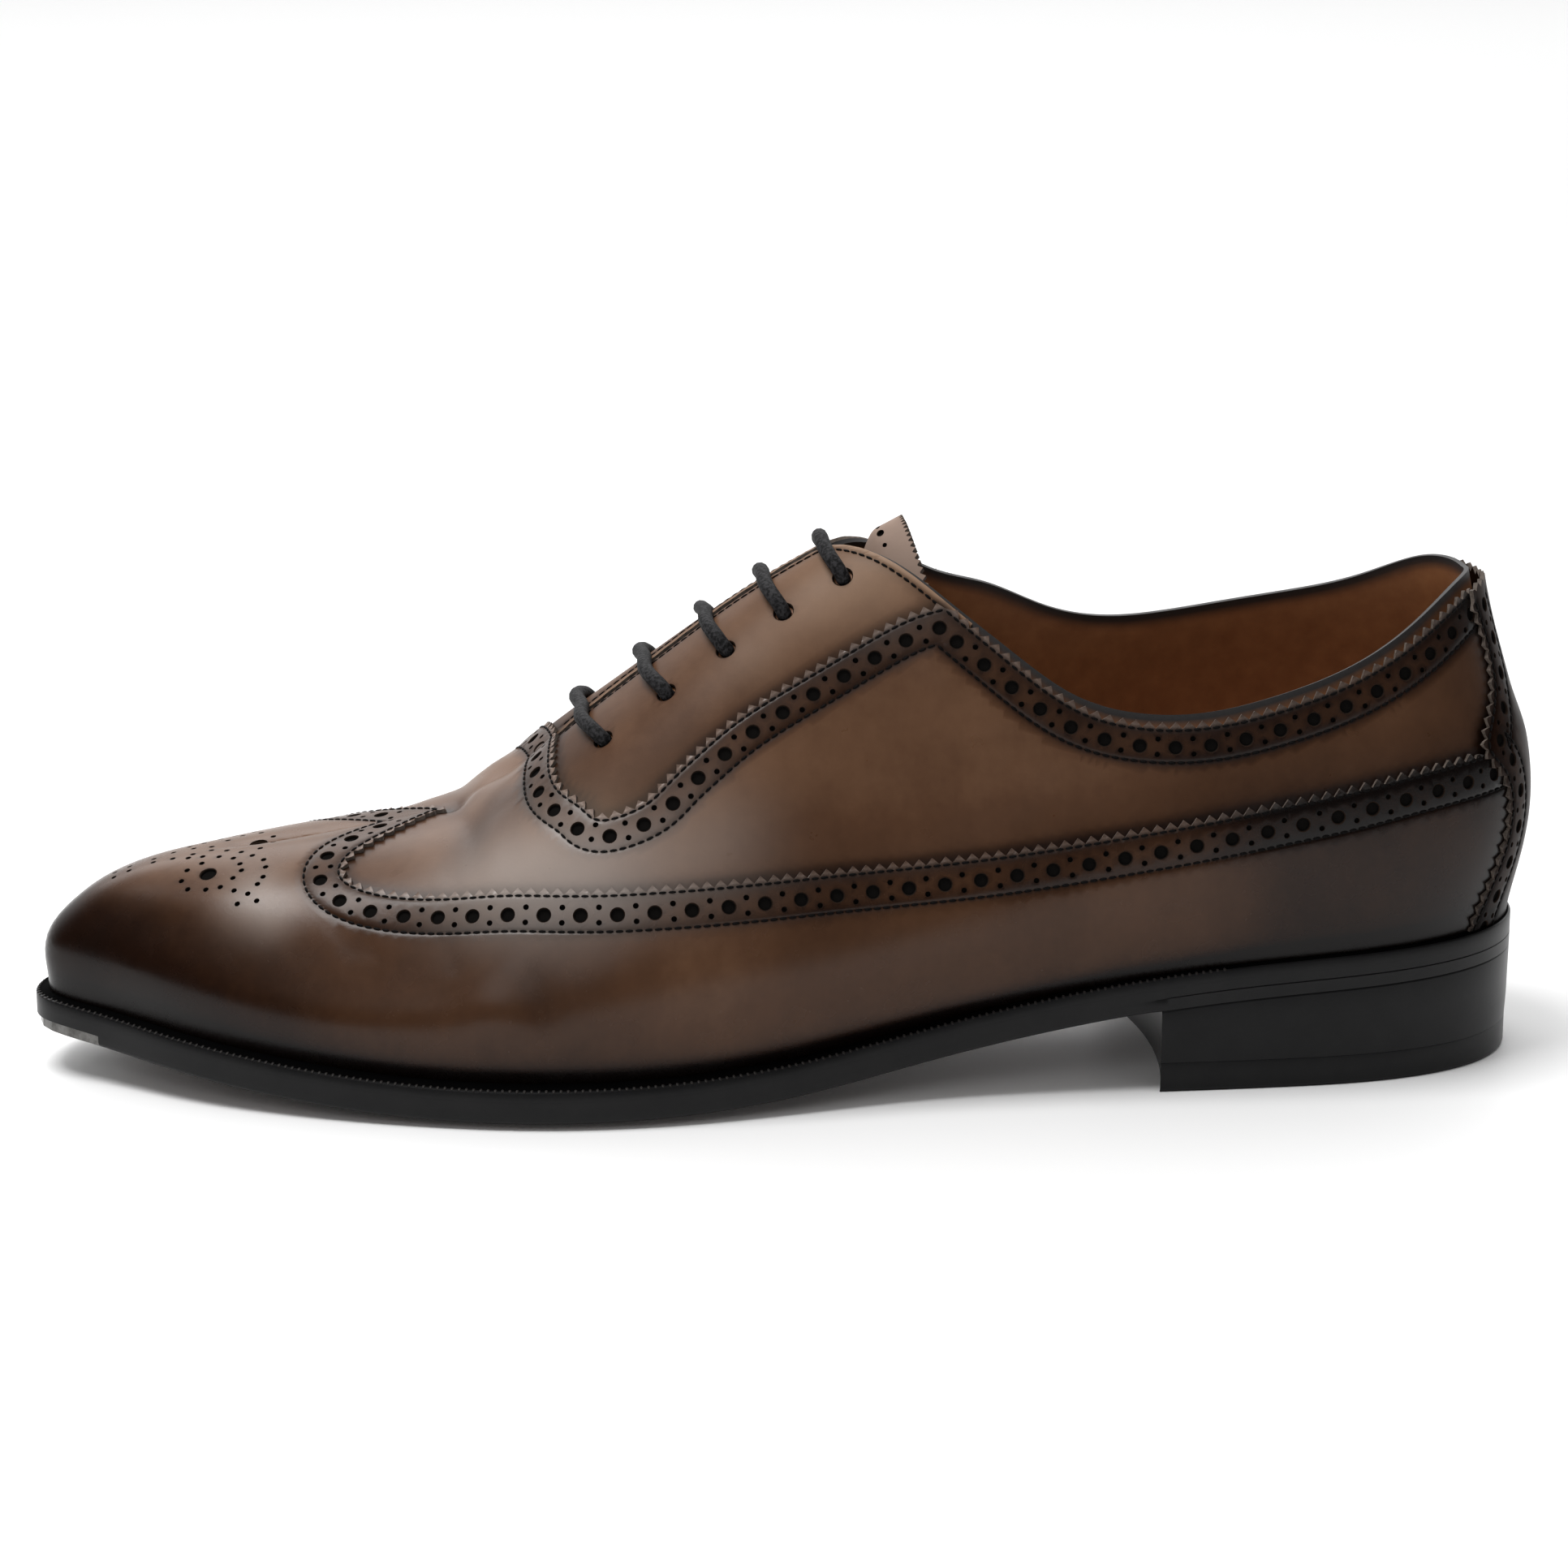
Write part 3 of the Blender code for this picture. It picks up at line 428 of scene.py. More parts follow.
def height_line(places):
    """A pattern line read as a height over its place along."""
    points = np.array(places, float) / 100
    curve = spline(points[:, 0], points[:, 1])
    return lambda along: curve(np.clip(along, points[0, 0], points[-1, 0]))[..., 0]


collar_lateral = height_line(COLLAR_LATERAL)
collar_medial = height_line(COLLAR_MEDIAL)
THROAT_FRONT = THROAT_EDGE[0].along / 100
CORNER_SOFTNESS = 0.035


def top_edge(along):
    """Height of the upper's free edge: the collar, then the facing's edge, then the closed ridge."""
    place = from_heel(along)
    collar = np.where(along % 2 <= 1, collar_lateral(place), collar_medial(place))
    back, across, apex, side = np.moveaxis(section_at(along % 2), -1, 0)[:4]
    reach = np.hypot(apex - back, axis_offset(apex) - across)
    facing = np.arccos((FACING_GAP / 2 / reach) ** (side / 2)) / (np.pi / 2)
    mix = np.clip(0.5 + (facing - collar) / (2 * CORNER_SOFTNESS), 0, 1)
    edge = facing * (1 - mix) + collar * mix - CORNER_SOFTNESS * mix * (1 - mix)
    return np.where(place >= THROAT_FRONT, 1.0, edge)

# %% [markdown]
# ## Lines and sheets on the last
#
# Every seam of the shoe runs at a steady distance from an edge, so the script needs lines that move
# sideways over the curved surface by millimetres. Each step is solved with the change of the last per
# unit along and per unit up. A panel is then a dense sheet of triangles inside its outline. Drawing
# them by hand would never line up with the CAD form, and this way it does by itself.

# %% Moving over the surface
ALONG_LENGTH = 324.5
SIDE_STEP = 1.2


def rate(places):
    """Change of the last's points per unit along and per unit up."""
    along, up = places.T
    inner = np.clip(up, UP_STEP, 1 - UP_STEP)
    ahead = last(along + ALONG_STEP, inner) - last(along - ALONG_STEP, inner)
    above = last(along, inner + UP_STEP) - last(along, inner - UP_STEP)
    return ahead / (2 * ALONG_STEP), above / (2 * UP_STEP)


def moved(places, vectors):
    """Places after a short move over the surface by vectors in millimetres."""
    ahead, above = rate(places)
    aa, au, uu = (ahead * ahead).sum(1), (ahead * above).sum(1), (above * above).sum(1)
    va, vu = (ahead * vectors).sum(1), (above * vectors).sum(1)
    whole = aa * uu - au * au
    return places + np.stack([(va * uu - vu * au) / whole, (vu * aa - va * au) / whole], 1)


def beside(places, distance):
    """A line moved sideways by millimetres: up where it runs along and the distance is positive."""
    distance = np.broadcast_to(np.asarray(distance, float), len(places))
    run = unit(np.gradient(last(*places.T), axis=0))
    steps = max(1, math.ceil(np.abs(distance).max() / SIDE_STEP))
    for _ in range(steps):
        side = unit(np.cross(run, outward(*places.T)))
        places = moved(places, side * (distance / steps)[:, None])
    return places


def lengths(points):
    """Distance from the first point to each point of a line."""
    return np.concatenate([[0.0], np.cumsum(np.linalg.norm(np.diff(points, axis=0), axis=1))])


def even(places, pitch):
    """Places along a line at even distances of about one pitch."""
    run = lengths(last(*places.T))
    at = np.linspace(0, run[-1], max(1, round(run[-1] / pitch)) + 1)
    return np.stack([np.interp(at, run, places[:, 0]), np.interp(at, run, places[:, 1])], 1)


def mirrored(places):
    """The same places on the other side of the shoe."""
    return np.stack([2 - places[:, 0], places[:, 1]], 1)


def side_of(medial):
    """Sign of one side of the shoe, and the function that takes lateral places there."""
    return (-1, mirrored) if medial else (1, np.array)


def to_ridge(places):
    """A line carried on to the ridge from its last two places."""
    places = places[places[:, 1] < 1]
    step = places[-1] - places[-2]
    return np.vstack([places, places[-1] + step * (1 - places[-1, 1]) / step[1]])


def nearest(points):
    """A tree that finds the nearest of these points."""
    tree = KDTree(len(points))
    for i, point in enumerate(points):
        tree.insert(point, i)
    tree.balance()
    return tree


def distances(points, tree):
    return np.array([tree.find(point)[2] for point in points])

# %% [markdown]
# Raw edges are gimped: cut into small saw teeth with a toothed punch. The teeth are real geometry,
# because they break the light on every edge of the photo.

# %% Gimped edges
GIMP_PITCH = 2.6
GIMP_DEPTH = 1.35
TOOTH = (0.5, 0.0, -0.5, 0.0)
RIDGE_KEEP = 0.006


def gimped(places, side):
    """A line cut into saw teeth, tips to its left where side is 1 and to its right where -1."""
    fine = even(places, GIMP_PITCH / len(TOOTH))
    depth = side * GIMP_DEPTH * np.resize(TOOTH, len(fine))
    depth[[0, -1]] = 0
    cut = beside(fine, depth)
    return cut[cut[:, 1] < 1 - RIDGE_KEEP]

# %% [markdown]
# The creases across the ball come from walking. They are given as lines on the last with a width and a
# depth, troughs positive and ridges negative, and every panel bends by the same amounts.

# %% Creases
Crease = namedtuple("Crease", "width depth places")
CREASES = (
    Crease(3.0, 0.6, ((76.2, 100), (74.4, 84), (72.6, 68), (71.4, 56), (71.0, 47))),
    Crease(5.0, -0.55, ((73.8, 100), (72.0, 86), (70.2, 72))),
    Crease(3.6, 0.6, ((70.4, 88), (69.4, 72), (69.0, 58), (69.4, 46))),
    Crease(1.2, 0.14, ((75.4, 84), (74.2, 68), (73.2, 56), (72.4, 48))),
    Crease(1.1, 0.12, ((74.6, 78), (73.4, 64), (72.6, 55), (72.0, 47))),
    Crease(1.6, 0.2, ((80.4, 45), (78.6, 37), (76.8, 30))),
    Crease(1.4, 0.18, ((79.0, 44), (77.2, 36), (75.6, 29))),
    Crease(1.8, 0.25, ((72.6, 36), (71.6, 29), (70.8, 23))),
    Crease(5.0, 0.55, ((67.4, 26), (66.4, 18), (65.4, 9))),
    Crease(6.0, -0.5, ((69.8, 27), (69.0, 18), (68.2, 9))),
)
CREASE_STEP = 0.8
CREASE_REACH = 3


def crease_samples():
    """Points of all creases with each one's width and its depth there, tapered to its free end."""
    points, widths, depths = [], [], []
    for crease in CREASES:
        for places in (np.array(crease.places) / 100, mirrored(np.array(crease.places) / 100)):
            fine = even(places, CREASE_STEP)
            share = np.linspace(0, 1, len(fine))
            fade = np.where(share > 0.5, np.sin(np.pi * share), 1.0)
            if places[0, 1] < 1:
                fade = np.sin(np.pi * share)
            points.append(last(*fine.T))
            widths.append(np.full(len(fine), crease.width))
            depths.append(crease.depth * fade)
    return points, widths, depths


crease_lines = crease_samples()


def creased(points):
    """How far points of the last sink into the creases, negative where a ridge lifts them."""
    sink = np.zeros(len(points))
    for line_points, widths, depths in zip(*crease_lines):
        reach = CREASE_REACH * widths[0]
        low, high = line_points.min(0) - reach, line_points.max(0) + reach
        close = np.flatnonzero(((points > low) & (points < high)).all(1))
        if len(close):
            away = np.linalg.norm(points[close][:, None] - line_points[None], axis=2)
            index = away.argmin(1)
            sink[close] += depths[index] * np.exp(-((away.min(1) / widths[0]) ** 2))
    return sink


print("creases:", len(CREASES), "on each side")

# %% [markdown]
# ## Finishes
#
# The calf is hand-burnished: tan where it was left alone, brown towards the edges and almost black at
# toe and heel, under a wax polish. Each panel carries a number per point, burnish_and_shade, which says
# how far that went and also holds painted shade in the crevice above the welt, in crease troughs, along
# stitch rows and under overlapping edges. The shader mixes noise into it before it picks the colour. The
# grain is only a fine bump, because polished calf is close to smooth.

# %% Node helpers
def add(tree, kind, inputs=None, **settings):
    """A node of a shader or geometry tree, with its inputs given as values or as sockets."""
    made = tree.nodes.new(kind)
    for key, value in settings.items():
        setattr(made, key, value)
    for key, value in (inputs or {}).items():
        if isinstance(value, bpy.types.NodeSocket):
            tree.links.new(value, made.inputs[key])
        else:
            made.inputs[key].default_value = value
    return made


def finish_of(name, **values):
    """A material with constant values on its main shader, and that shader."""
    made = bpy.data.materials.new(name)
    made.use_nodes = True
    shader = made.node_tree.nodes["Principled BSDF"]
    for key, value in values.items():
        shader.inputs[key.replace("_", " ")].default_value = value
    return made, made.node_tree, shader


def noise(tree, scale, detail=3.0, rough=0.55, stretch=(1.0, 1.0, 1.0)):
    """Noise in the object's own space; a stretch below 1 draws it out along that axis."""
    where = add(tree, "ShaderNodeTexCoord").outputs["Object"]
    where = add(tree, "ShaderNodeVectorMath", {0: where, 1: stretch}, operation="MULTIPLY").outputs[0]
    inputs = {"Vector": where, "Scale": scale, "Detail": detail, "Roughness": rough}
    return add(tree, "ShaderNodeTexNoise", inputs).outputs["Fac"]


def maths(tree, operation, first, second):
    return add(tree, "ShaderNodeMath", {0: first, 1: second}, operation=operation).outputs[0]


def ramp(tree, place, stops):
    """Colours over a value from 0 to 1, as (place, colour) stops."""
    made = add(tree, "ShaderNodeValToRGB", {"Fac": place})
    elements = made.color_ramp.elements
    while len(elements) < len(stops):
        elements.new(0.5)
    for element, (at, colour) in zip(elements, stops):
        element.position = at
        element.color = (*colour, 1.0)
    return made.outputs["Color"]


def coloured(tree, shader, place, stops):
    tree.links.new(ramp(tree, place, stops), shader.inputs["Base Color"])


def mixed_colour(tree, share, first, second):
    """A colour between two, each a colour or a socket."""
    return add(tree, "ShaderNodeMix", {0: share, 6: first, 7: second}, data_type="RGBA").outputs[2]


def point_value(tree, name):
    return add(tree, "ShaderNodeAttribute", attribute_name=name).outputs["Fac"]


def bumped(tree, shader, height, strength, distance):
    inputs = {"Height": height, "Strength": strength, "Distance": distance * MM}
    normal = add(tree, "ShaderNodeBump", inputs).outputs["Normal"]
    tree.links.new(normal, shader.inputs["Normal"])

# %% [markdown]
# Calf, cut edges, the insides of holes and thread follow. The calf's colour also carries a painted
# sheen: a pale colour painted where the leather catches the light, as a painted highlight. It is a
# second number per point, which mixes in its own colour.

# %% Burnished calf, raw edges, holes and thread
CALF = (
    (0.0, (0.17, 0.09, 0.05)),
    (0.3, (0.078, 0.036, 0.018)),
    (0.55, (0.036, 0.0155, 0.0074)),
    (0.78, (0.013, 0.0051, 0.0026)),
    (1.0, (0.003, 0.0014, 0.001)),
)
CLOUD_SHARE, STREAK_SHARE, SPECK_SHARE = 0.34, 0.16, 0.08
CLOUD_SCALE, STREAK_SCALE, SPECK_SCALE = 38.0, 110.0, 420.0
STREAK = (1.0, 1.0, 0.2)
RUB_SCALE, RUB_SHARE = 160.0, 0.14
GRAIN_SCALE, GRAIN_BUMP, GRAIN_DEPTH = 1500.0, 0.22, 0.07
# Colours of the painted sheen, a painted highlight: pale grey on most calf, golden on the facings
PAINTED_SHEEN_COLOUR = (0.44, 0.385, 0.35, 1)
GOLDEN_PAINTED_SHEEN = (0.5, 0.37, 0.27, 1)


def calf(name, roughness, shine, stops=CALF, sheen_colour=PAINTED_SHEEN_COLOUR):
    """Burnished and waxed calf leather, with painted shade and a painted sheen mixed into its colour."""
    made, tree, shader = finish_of(name, Specular_IOR_Level=shine)
    mixed = point_value(tree, "burnish_and_shade")
    clouds = (
        (noise(tree, CLOUD_SCALE, 5.0), CLOUD_SHARE),
        (noise(tree, STREAK_SCALE, 4.0, 0.6, STREAK), STREAK_SHARE),
        (noise(tree, SPECK_SCALE, 2.0), SPECK_SHARE),
    )
    for cloud, share in clouds:
        cloud = maths(tree, "MULTIPLY", maths(tree, "SUBTRACT", cloud, 0.5), share)
        mixed = maths(tree, "ADD", mixed, cloud)
    # Painted sheen: a pale colour mixed in where the leather catches the light
    waxed = mixed_colour(tree, point_value(tree, "painted_sheen"), ramp(tree, mixed, stops), sheen_colour)
    tree.links.new(waxed, shader.inputs["Base Color"])
    rough = maths(tree, "MULTIPLY", noise(tree, RUB_SCALE), RUB_SHARE)
    rough = maths(tree, "ADD", rough, roughness - RUB_SHARE / 2)
    tree.links.new(rough, shader.inputs["Roughness"])
    bumped(tree, shader, noise(tree, GRAIN_SCALE, 4.0, 0.7), GRAIN_BUMP, GRAIN_DEPTH)
    return made


def raw_edge(name, low, high, scale=900.0):
    """Cut leather: fibrous and dull."""
    made, tree, shader = finish_of(name, Roughness=0.75)
    fibres = noise(tree, scale, 4.0)
    coloured(tree, shader, fibres, ((0.3, low), (0.7, high)))
    bumped(tree, shader, fibres, 0.5, 0.12)
    return made


HOLE_DEPTHS = (
    (0.0, (0.026, 0.016, 0.011)),
    (0.3, (0.012, 0.0085, 0.007)),
    (0.7, (0.007, 0.0064, 0.006)),
)


def hole_finish():
    """Inside of a punched hole: cut leather at the rim that darkens to black at the floor."""
    made, tree, shader = finish_of("hole_wall", Roughness=0.9, Specular_IOR_Level=0.0)
    coloured(tree, shader, point_value(tree, "depth"), HOLE_DEPTHS)
    return made


TONGUE_SUEDE = ((0.0, (0.3, 0.215, 0.17)), (0.5, (0.15, 0.1, 0.078)))
vamp_calf = calf("vamp_calf", 0.3, 0.22)
wing_calf = calf("wing_calf", 0.26, 0.22)
strap_calf = calf("strap_calf", 0.36, 0.03)
facing_calf = calf("facing_calf", 0.42, 0.1, sheen_colour=GOLDEN_PAINTED_SHEEN)
tongue_calf = calf("tongue_calf", 0.6, 0.15, TONGUE_SUEDE)
cut_edge = raw_edge("cut_edge", (0.045, 0.033, 0.026), (0.15, 0.118, 0.096))
hole_wall = hole_finish()
thread_look = {"Base_Color": (0.003, 0.0025, 0.0025, 1), "Roughness": 0.6, "Specular_IOR_Level": 0.06}
thread = finish_of("thread", **thread_look)[0]
print("finishes:", len(bpy.data.materials))

# %% [markdown]
# ## Panels
#
# A panel is cut from leather about a millimetre thick. Its sheet is triangulated between the gimped
# outline, an even field of points and extra points along each stitch row, so that the thread lies in
# a real groove. Both faces follow the last, and a rim closes them.

# %% The panel maker
FIELD_STEP = 1.5
KEEP_OFF = 0.62
GROOVE_KEEP_OFF = 0.2
UP_LENGTH = 110.0
SAME_PLACE = 1e-6
GROOVE_OFFSETS = (-0.75, -0.38, 0.0, 0.38, 0.75)
GROOVE_WIDTH = 0.42
GROOVE_DEPTH = 0.24
GROOVE_STEP = 0.95
ROLL_WIDTH = 0.8
ROLL_DEPTH = 0.3
COLUMN_SAMPLES = 90
SHARP = math.radians(38)


def smooth(value):
    """0 below 0, 1 above 1 and an even S between."""
    value = np.clip(value, 0, 1)
    return value * value * (3 - 2 * value)


def field(low, high):
    """Staggered places about one step apart between two places along."""
    samples = np.linspace(0, 1, COLUMN_SAMPLES)
    found = []
    for i, along in enumerate(np.arange(low, high, FIELD_STEP / ALONG_LENGTH)):
        run = lengths(last(np.full(COLUMN_SAMPLES, along), samples))
        at = np.arange(FIELD_STEP * (0.5 + 0.5 * (i % 2)), run[-1], FIELD_STEP)
        up = np.interp(at, run, samples)
        found.append(np.stack([np.full(len(up), along), up], 1))
    found = np.vstack(found)
    return found[(found[:, 1] > UP_STEP) & (found[:, 1] < 1 - UP_STEP)]


def filled(outline, rows):
    """Places and triangles inside an outline, with extra places beside each row."""
    grooves = [beside(even(row, GROOVE_STEP), away) for row in rows for away in GROOVE_OFFSETS]
    grooves = np.vstack(grooves) if grooves else np.zeros((0, 2))
    grooves = grooves[(grooves[:, 1] > UP_STEP) & (grooves[:, 1] < 1 - UP_STEP)]
    rim = nearest(last(*outline.T))
    grooves = grooves[distances(last(*grooves.T), rim) > GROOVE_KEEP_OFF]
    grid = field(outline[:, 0].min(), outline[:, 0].max())
    taken = nearest(last(*np.vstack([outline, grooves]).T))
    grid = grid[distances(last(*grid.T), taken) > KEEP_OFF]
    flat_scale = np.array([ALONG_LENGTH, UP_LENGTH])
    flat = np.vstack([outline, grooves, grid]) * flat_scale
    edges = [(i, (i + 1) % len(outline)) for i in range(len(outline))]
    made = delaunay_2d_cdt([tuple(point) for point in flat], edges, [], 1, SAME_PLACE)
    places = flat[[sources[0] for sources in made[3]]] / flat_scale
    return places, np.array([tuple(corner) for corner in made[2]])

# %% [markdown]
# A sheet becomes a closed piece with a second face below the first and a rim between them. Halves
# that meet on the ridge share their points there, so that no seam opens.

# %% Closed sheets
def joined(halves):
    """Several (places, triangles) as one; points that meet on the ridge become the same point."""
    places = np.vstack([half[0] for half in halves])
    starts = np.cumsum([0] + [len(half[0]) for half in halves[:-1]])
    triangles = np.vstack([half[1] + start for half, start in zip(halves, starts)])
    keys = np.round(skin(*places.T, np.zeros(len(places))), 4)
    _, first, index = np.unique(keys, axis=0, return_index=True, return_inverse=True)
    triangles = index.reshape(-1)[triangles]
    whole = (triangles != np.roll(triangles, 1, axis=1)).all(1)
    return places[first], triangles[whole]


def rim_edges(triangles):
    """Directed edges that only one triangle uses."""
    ends = np.vstack([triangles[:, [0, 1]], triangles[:, [1, 2]], triangles[:, [2, 0]]])
    _, index, count = np.unique(np.sort(ends, axis=1), axis=0, return_inverse=True, return_counts=True)
    return ends[count[index.reshape(-1)] == 1]


def turned_out(triangles, points, places):
    """Triangles of a sheet over the last, with their faces outwards."""
    corners = points[triangles]
    normals = np.cross(corners[:, 1] - corners[:, 0], corners[:, 2] - corners[:, 0])
    inwards = (normals * outward(*places.T)[triangles[:, 0]]).sum() < 0
    return triangles[:, ::-1] if inwards else triangles


def shell(triangles, count):
    """Faces of a sheet with its second face, count points on, and its rim; and which of them are rim."""
    a, b = rim_edges(triangles).T
    rim = np.vstack([np.stack([b, a, a + count], 1), np.stack([b, a + count, b + count], 1)])
    faces = np.vstack([triangles, triangles[:, ::-1] + count, rim])
    return faces, np.repeat([0, 1], [2 * len(triangles), len(rim)])


def linked(name, data):
    """A new object of the scene."""
    made = bpy.data.objects.new(name, data)
    bpy.context.scene.collection.objects.link(made)
    return made


def smoothed(mesh):
    mesh.shade_smooth()
    mesh.set_sharp_from_angle(angle=SHARP)
    return mesh


def mesh_object(name, points, faces, finishes, finish_index=None, values=None):
    """A smooth mesh object from millimetres, with one number per point for each named value."""
    mesh = bpy.data.meshes.new(name)
    mesh.from_pydata((np.asarray(points) * MM).tolist(), [], [list(face) for face in faces])
    for made in finishes:
        mesh.materials.append(made)
    if finish_index is not None:
        mesh.polygons.foreach_set("material_index", np.asarray(finish_index, np.int32))
    for key, value in (values or {}).items():
        layer = mesh.attributes.new(key, "FLOAT", "POINT")
        layer.data.foreach_set("value", np.asarray(value, np.float32))
    smoothed(mesh).update()
    return linked(name, mesh)


def signed_volume(made):
    made.data.calc_loop_triangles()
    points = np.array([vertex.co for vertex in made.data.vertices])
    corners = points[np.array([triangle.vertices for triangle in made.data.loop_triangles])]
    return np.linalg.det(corners).sum()


def face_out(made):
    """Turns a closed piece's faces outwards."""
    if signed_volume(made) < 0:
        made.data.flip_normals()
    return made


def seam_tree(rows, pitch=0.35):
    return nearest(np.vstack([last(*even(row, pitch).T) for row in rows])) if rows else None


def near(points, tree, width):
    """1 on the lines of a tree, fading to 0 past the width."""
    return np.exp(-((distances(points, tree) / width) ** 2))


def lift_at(lift, places):
    """A lift at places, where it may be a number or a function of them."""
    return lift(places) if callable(lift) else np.full(len(places), lift)


def lifted(places, face, rows_tree, rim_tree):
    """Outer face of a panel: its lift, less creases, stitch grooves and the rolled edge."""
    points = last(*places.T)
    lift = lift_at(face, places) - creased(points)
    if rows_tree:
        lift = lift - GROOVE_DEPTH * near(points, rows_tree, GROOVE_WIDTH)
    if rim_tree:
        lift = lift - ROLL_DEPTH * np.clip(1 - distances(points, rim_tree) / ROLL_WIDTH, 0, 1) ** 2
    return lift

# %% [markdown]
# The polish is worked out for each point: darker on toe, heel and bands, with listed soft spots of
# darker and paler tone. Painted shade is added in the crevice above the welt, in the crease troughs,
# along the stitch rows and under overlapping edges, and a painted sheen lies where the leather catches
# the light. The teeth stay pale, partly worn and partly a painted highlight.

# %% Polish
Shade = namedtuple("Shade", "amount start full")
TOE_SHADE = Shade(0.48, -66.0, -135.0)
TOE_LOW = Shade(1.0, 0.78, 0.1)
# Darker just above the welt: painted shade of the crevice, where the upper is also inked; narrow and
# strong, then faint and wide
WELT_SHADES = ((1.0, 2.6), (0.14, 8.0))
# Painted shade of the stitch grooves along every row
SEAM_SHADE, SEAM_WIDTH = 0.22, 1.2
# Paler teeth on the gimped edges: partly worn, partly a painted highlight on their facets
TOOTH_WEAR_AND_HIGHLIGHT, TOOTH_PAINTED_SHEEN, TOOTH_WIDTH = 0.36, 0.24, 0.7
TOOTH_FADE, TOOTH_LEAST = 1.25, 0.12
BAND_WIDTH, BAND_SOFT = 8.6, 1.4
# Darker along an overlapping panel's edge: a narrow painted shadow under that edge, and a wide band
# darkening towards it
EDGE_SHADOW_BANDS = ((0.4, 1.5), (0.16, 10.0))
# Darker in the crease troughs: painted shade, and polish gathered there
CREASE_SHADE = 0.2
Spot = namedtuple("Spot", "along up reach amount")
# Soft spots of darker (positive) and paler tone; the last three, along the vamp crease, are painted shade
# of its trough, with polish gathered there
TONE_AND_CREASE_SHADE_SPOTS = (
    Spot(71.0, 20.0, 26.0, 0.12),
    Spot(57.5, 17.0, 14.0, -0.14),
    Spot(70.8, 76.0, 6.0, 0.26),
    Spot(71.5, 67.0, 5.5, 0.26),
    Spot(72.0, 59.5, 5.0, 0.2),
)
# Spots of painted sheen, a pale colour where the leather catches the light: vamp, quarter front, toe cap
# and near the facings' top
PAINTED_SHEEN_SPOTS = (
    Spot(72.8, 52.5, 9.0, 0.15),
    Spot(69.4, 46.5, 12.0, 0.34),
    Spot(66.3, 44.0, 12.0, 0.34),
    Spot(62.8, 37.0, 10.0, 0.26),
    Spot(59.0, 34.5, 10.0, 0.17),
    Spot(55.3, 35.0, 11.0, 0.16),
    Spot(86.2, 51.5, 6.5, 0.4),
    Spot(83.8, 43.5, 5.0, 0.2),
    Spot(45.5, 73.0, 11.0, 0.17),
    Spot(49.6, 72.0, 8.0, 0.1),
    Spot(53.6, 67.0, 7.0, 0.08),
)


def shaded(shade, value):
    """The amount of a shade where a value has gone from its start to its full place."""
    return shade.amount * smooth((value - shade.start) / (shade.full - shade.start))


def teeth(places, tone, rim_tree):
    """1 on the teeth of a gimped edge, paler as wear and painted highlight, less where the leather is dark.
    """
    points = last(*places.T)
    pale = np.clip(1 - TOOTH_FADE * tone(places, points), TOOTH_LEAST, 1)
    return pale * near(points, rim_tree, TOOTH_WIDTH)


def spotted(points, spots):
    """The sum of soft round spots, each fading to nothing past its reach in millimetres."""
    total = np.zeros(len(points))
    for spot in spots:
        middle = last(np.array([spot.along / 100]), np.array([spot.up / 100]))
        total += spot.amount * np.exp(-(((points - middle) / spot.reach) ** 2).sum(1))
    return total


def polish_and_shade(places, tone, band, rows_tree, rim_tree, overlap_tree):
    """How dark a panel is: its polish, with painted shade above the welt, in creases, along seams and under
    edges.
    """
    points = last(*places.T)
    above_welt = points[:, 2] - seat_height(HEEL_X - points[:, 0])
    dark = tone(places, points) + shaded(TOE_SHADE, points[:, 0]) * shaded(TOE_LOW, places[:, 1])
    # Painted shade of the crevice above the welt, partly ink
    for amount, width in WELT_SHADES:
        dark = dark + amount * np.exp(-((above_welt / width) ** 2))
    # Painted shade in the crease troughs and along the vamp crease, with the listed tone spots
    dark = dark + CREASE_SHADE * np.clip(creased(points), 0, 2) + spotted(points, TONE_AND_CREASE_SHADE_SPOTS)
    # Painted shade along the stitch rows
    dark = dark + SEAM_SHADE * near(points, rows_tree, SEAM_WIDTH)
    on_band = smooth((BAND_WIDTH - distances(points, rim_tree)) / BAND_SOFT)
    # Paler teeth: partly worn, partly a painted highlight on their facets
    dark = dark + band * on_band - TOOTH_WEAR_AND_HIGHLIGHT * teeth(places, tone, rim_tree)
    # Painted shadow under overlapping edges, and a wide darkening towards them
    if overlap_tree:
        for amount, width in EDGE_SHADOW_BANDS:
            dark = dark + amount * near(points, overlap_tree, width)
    return dark

# %% [markdown]
# All of this comes together in one maker, which every panel of the shoe then uses.

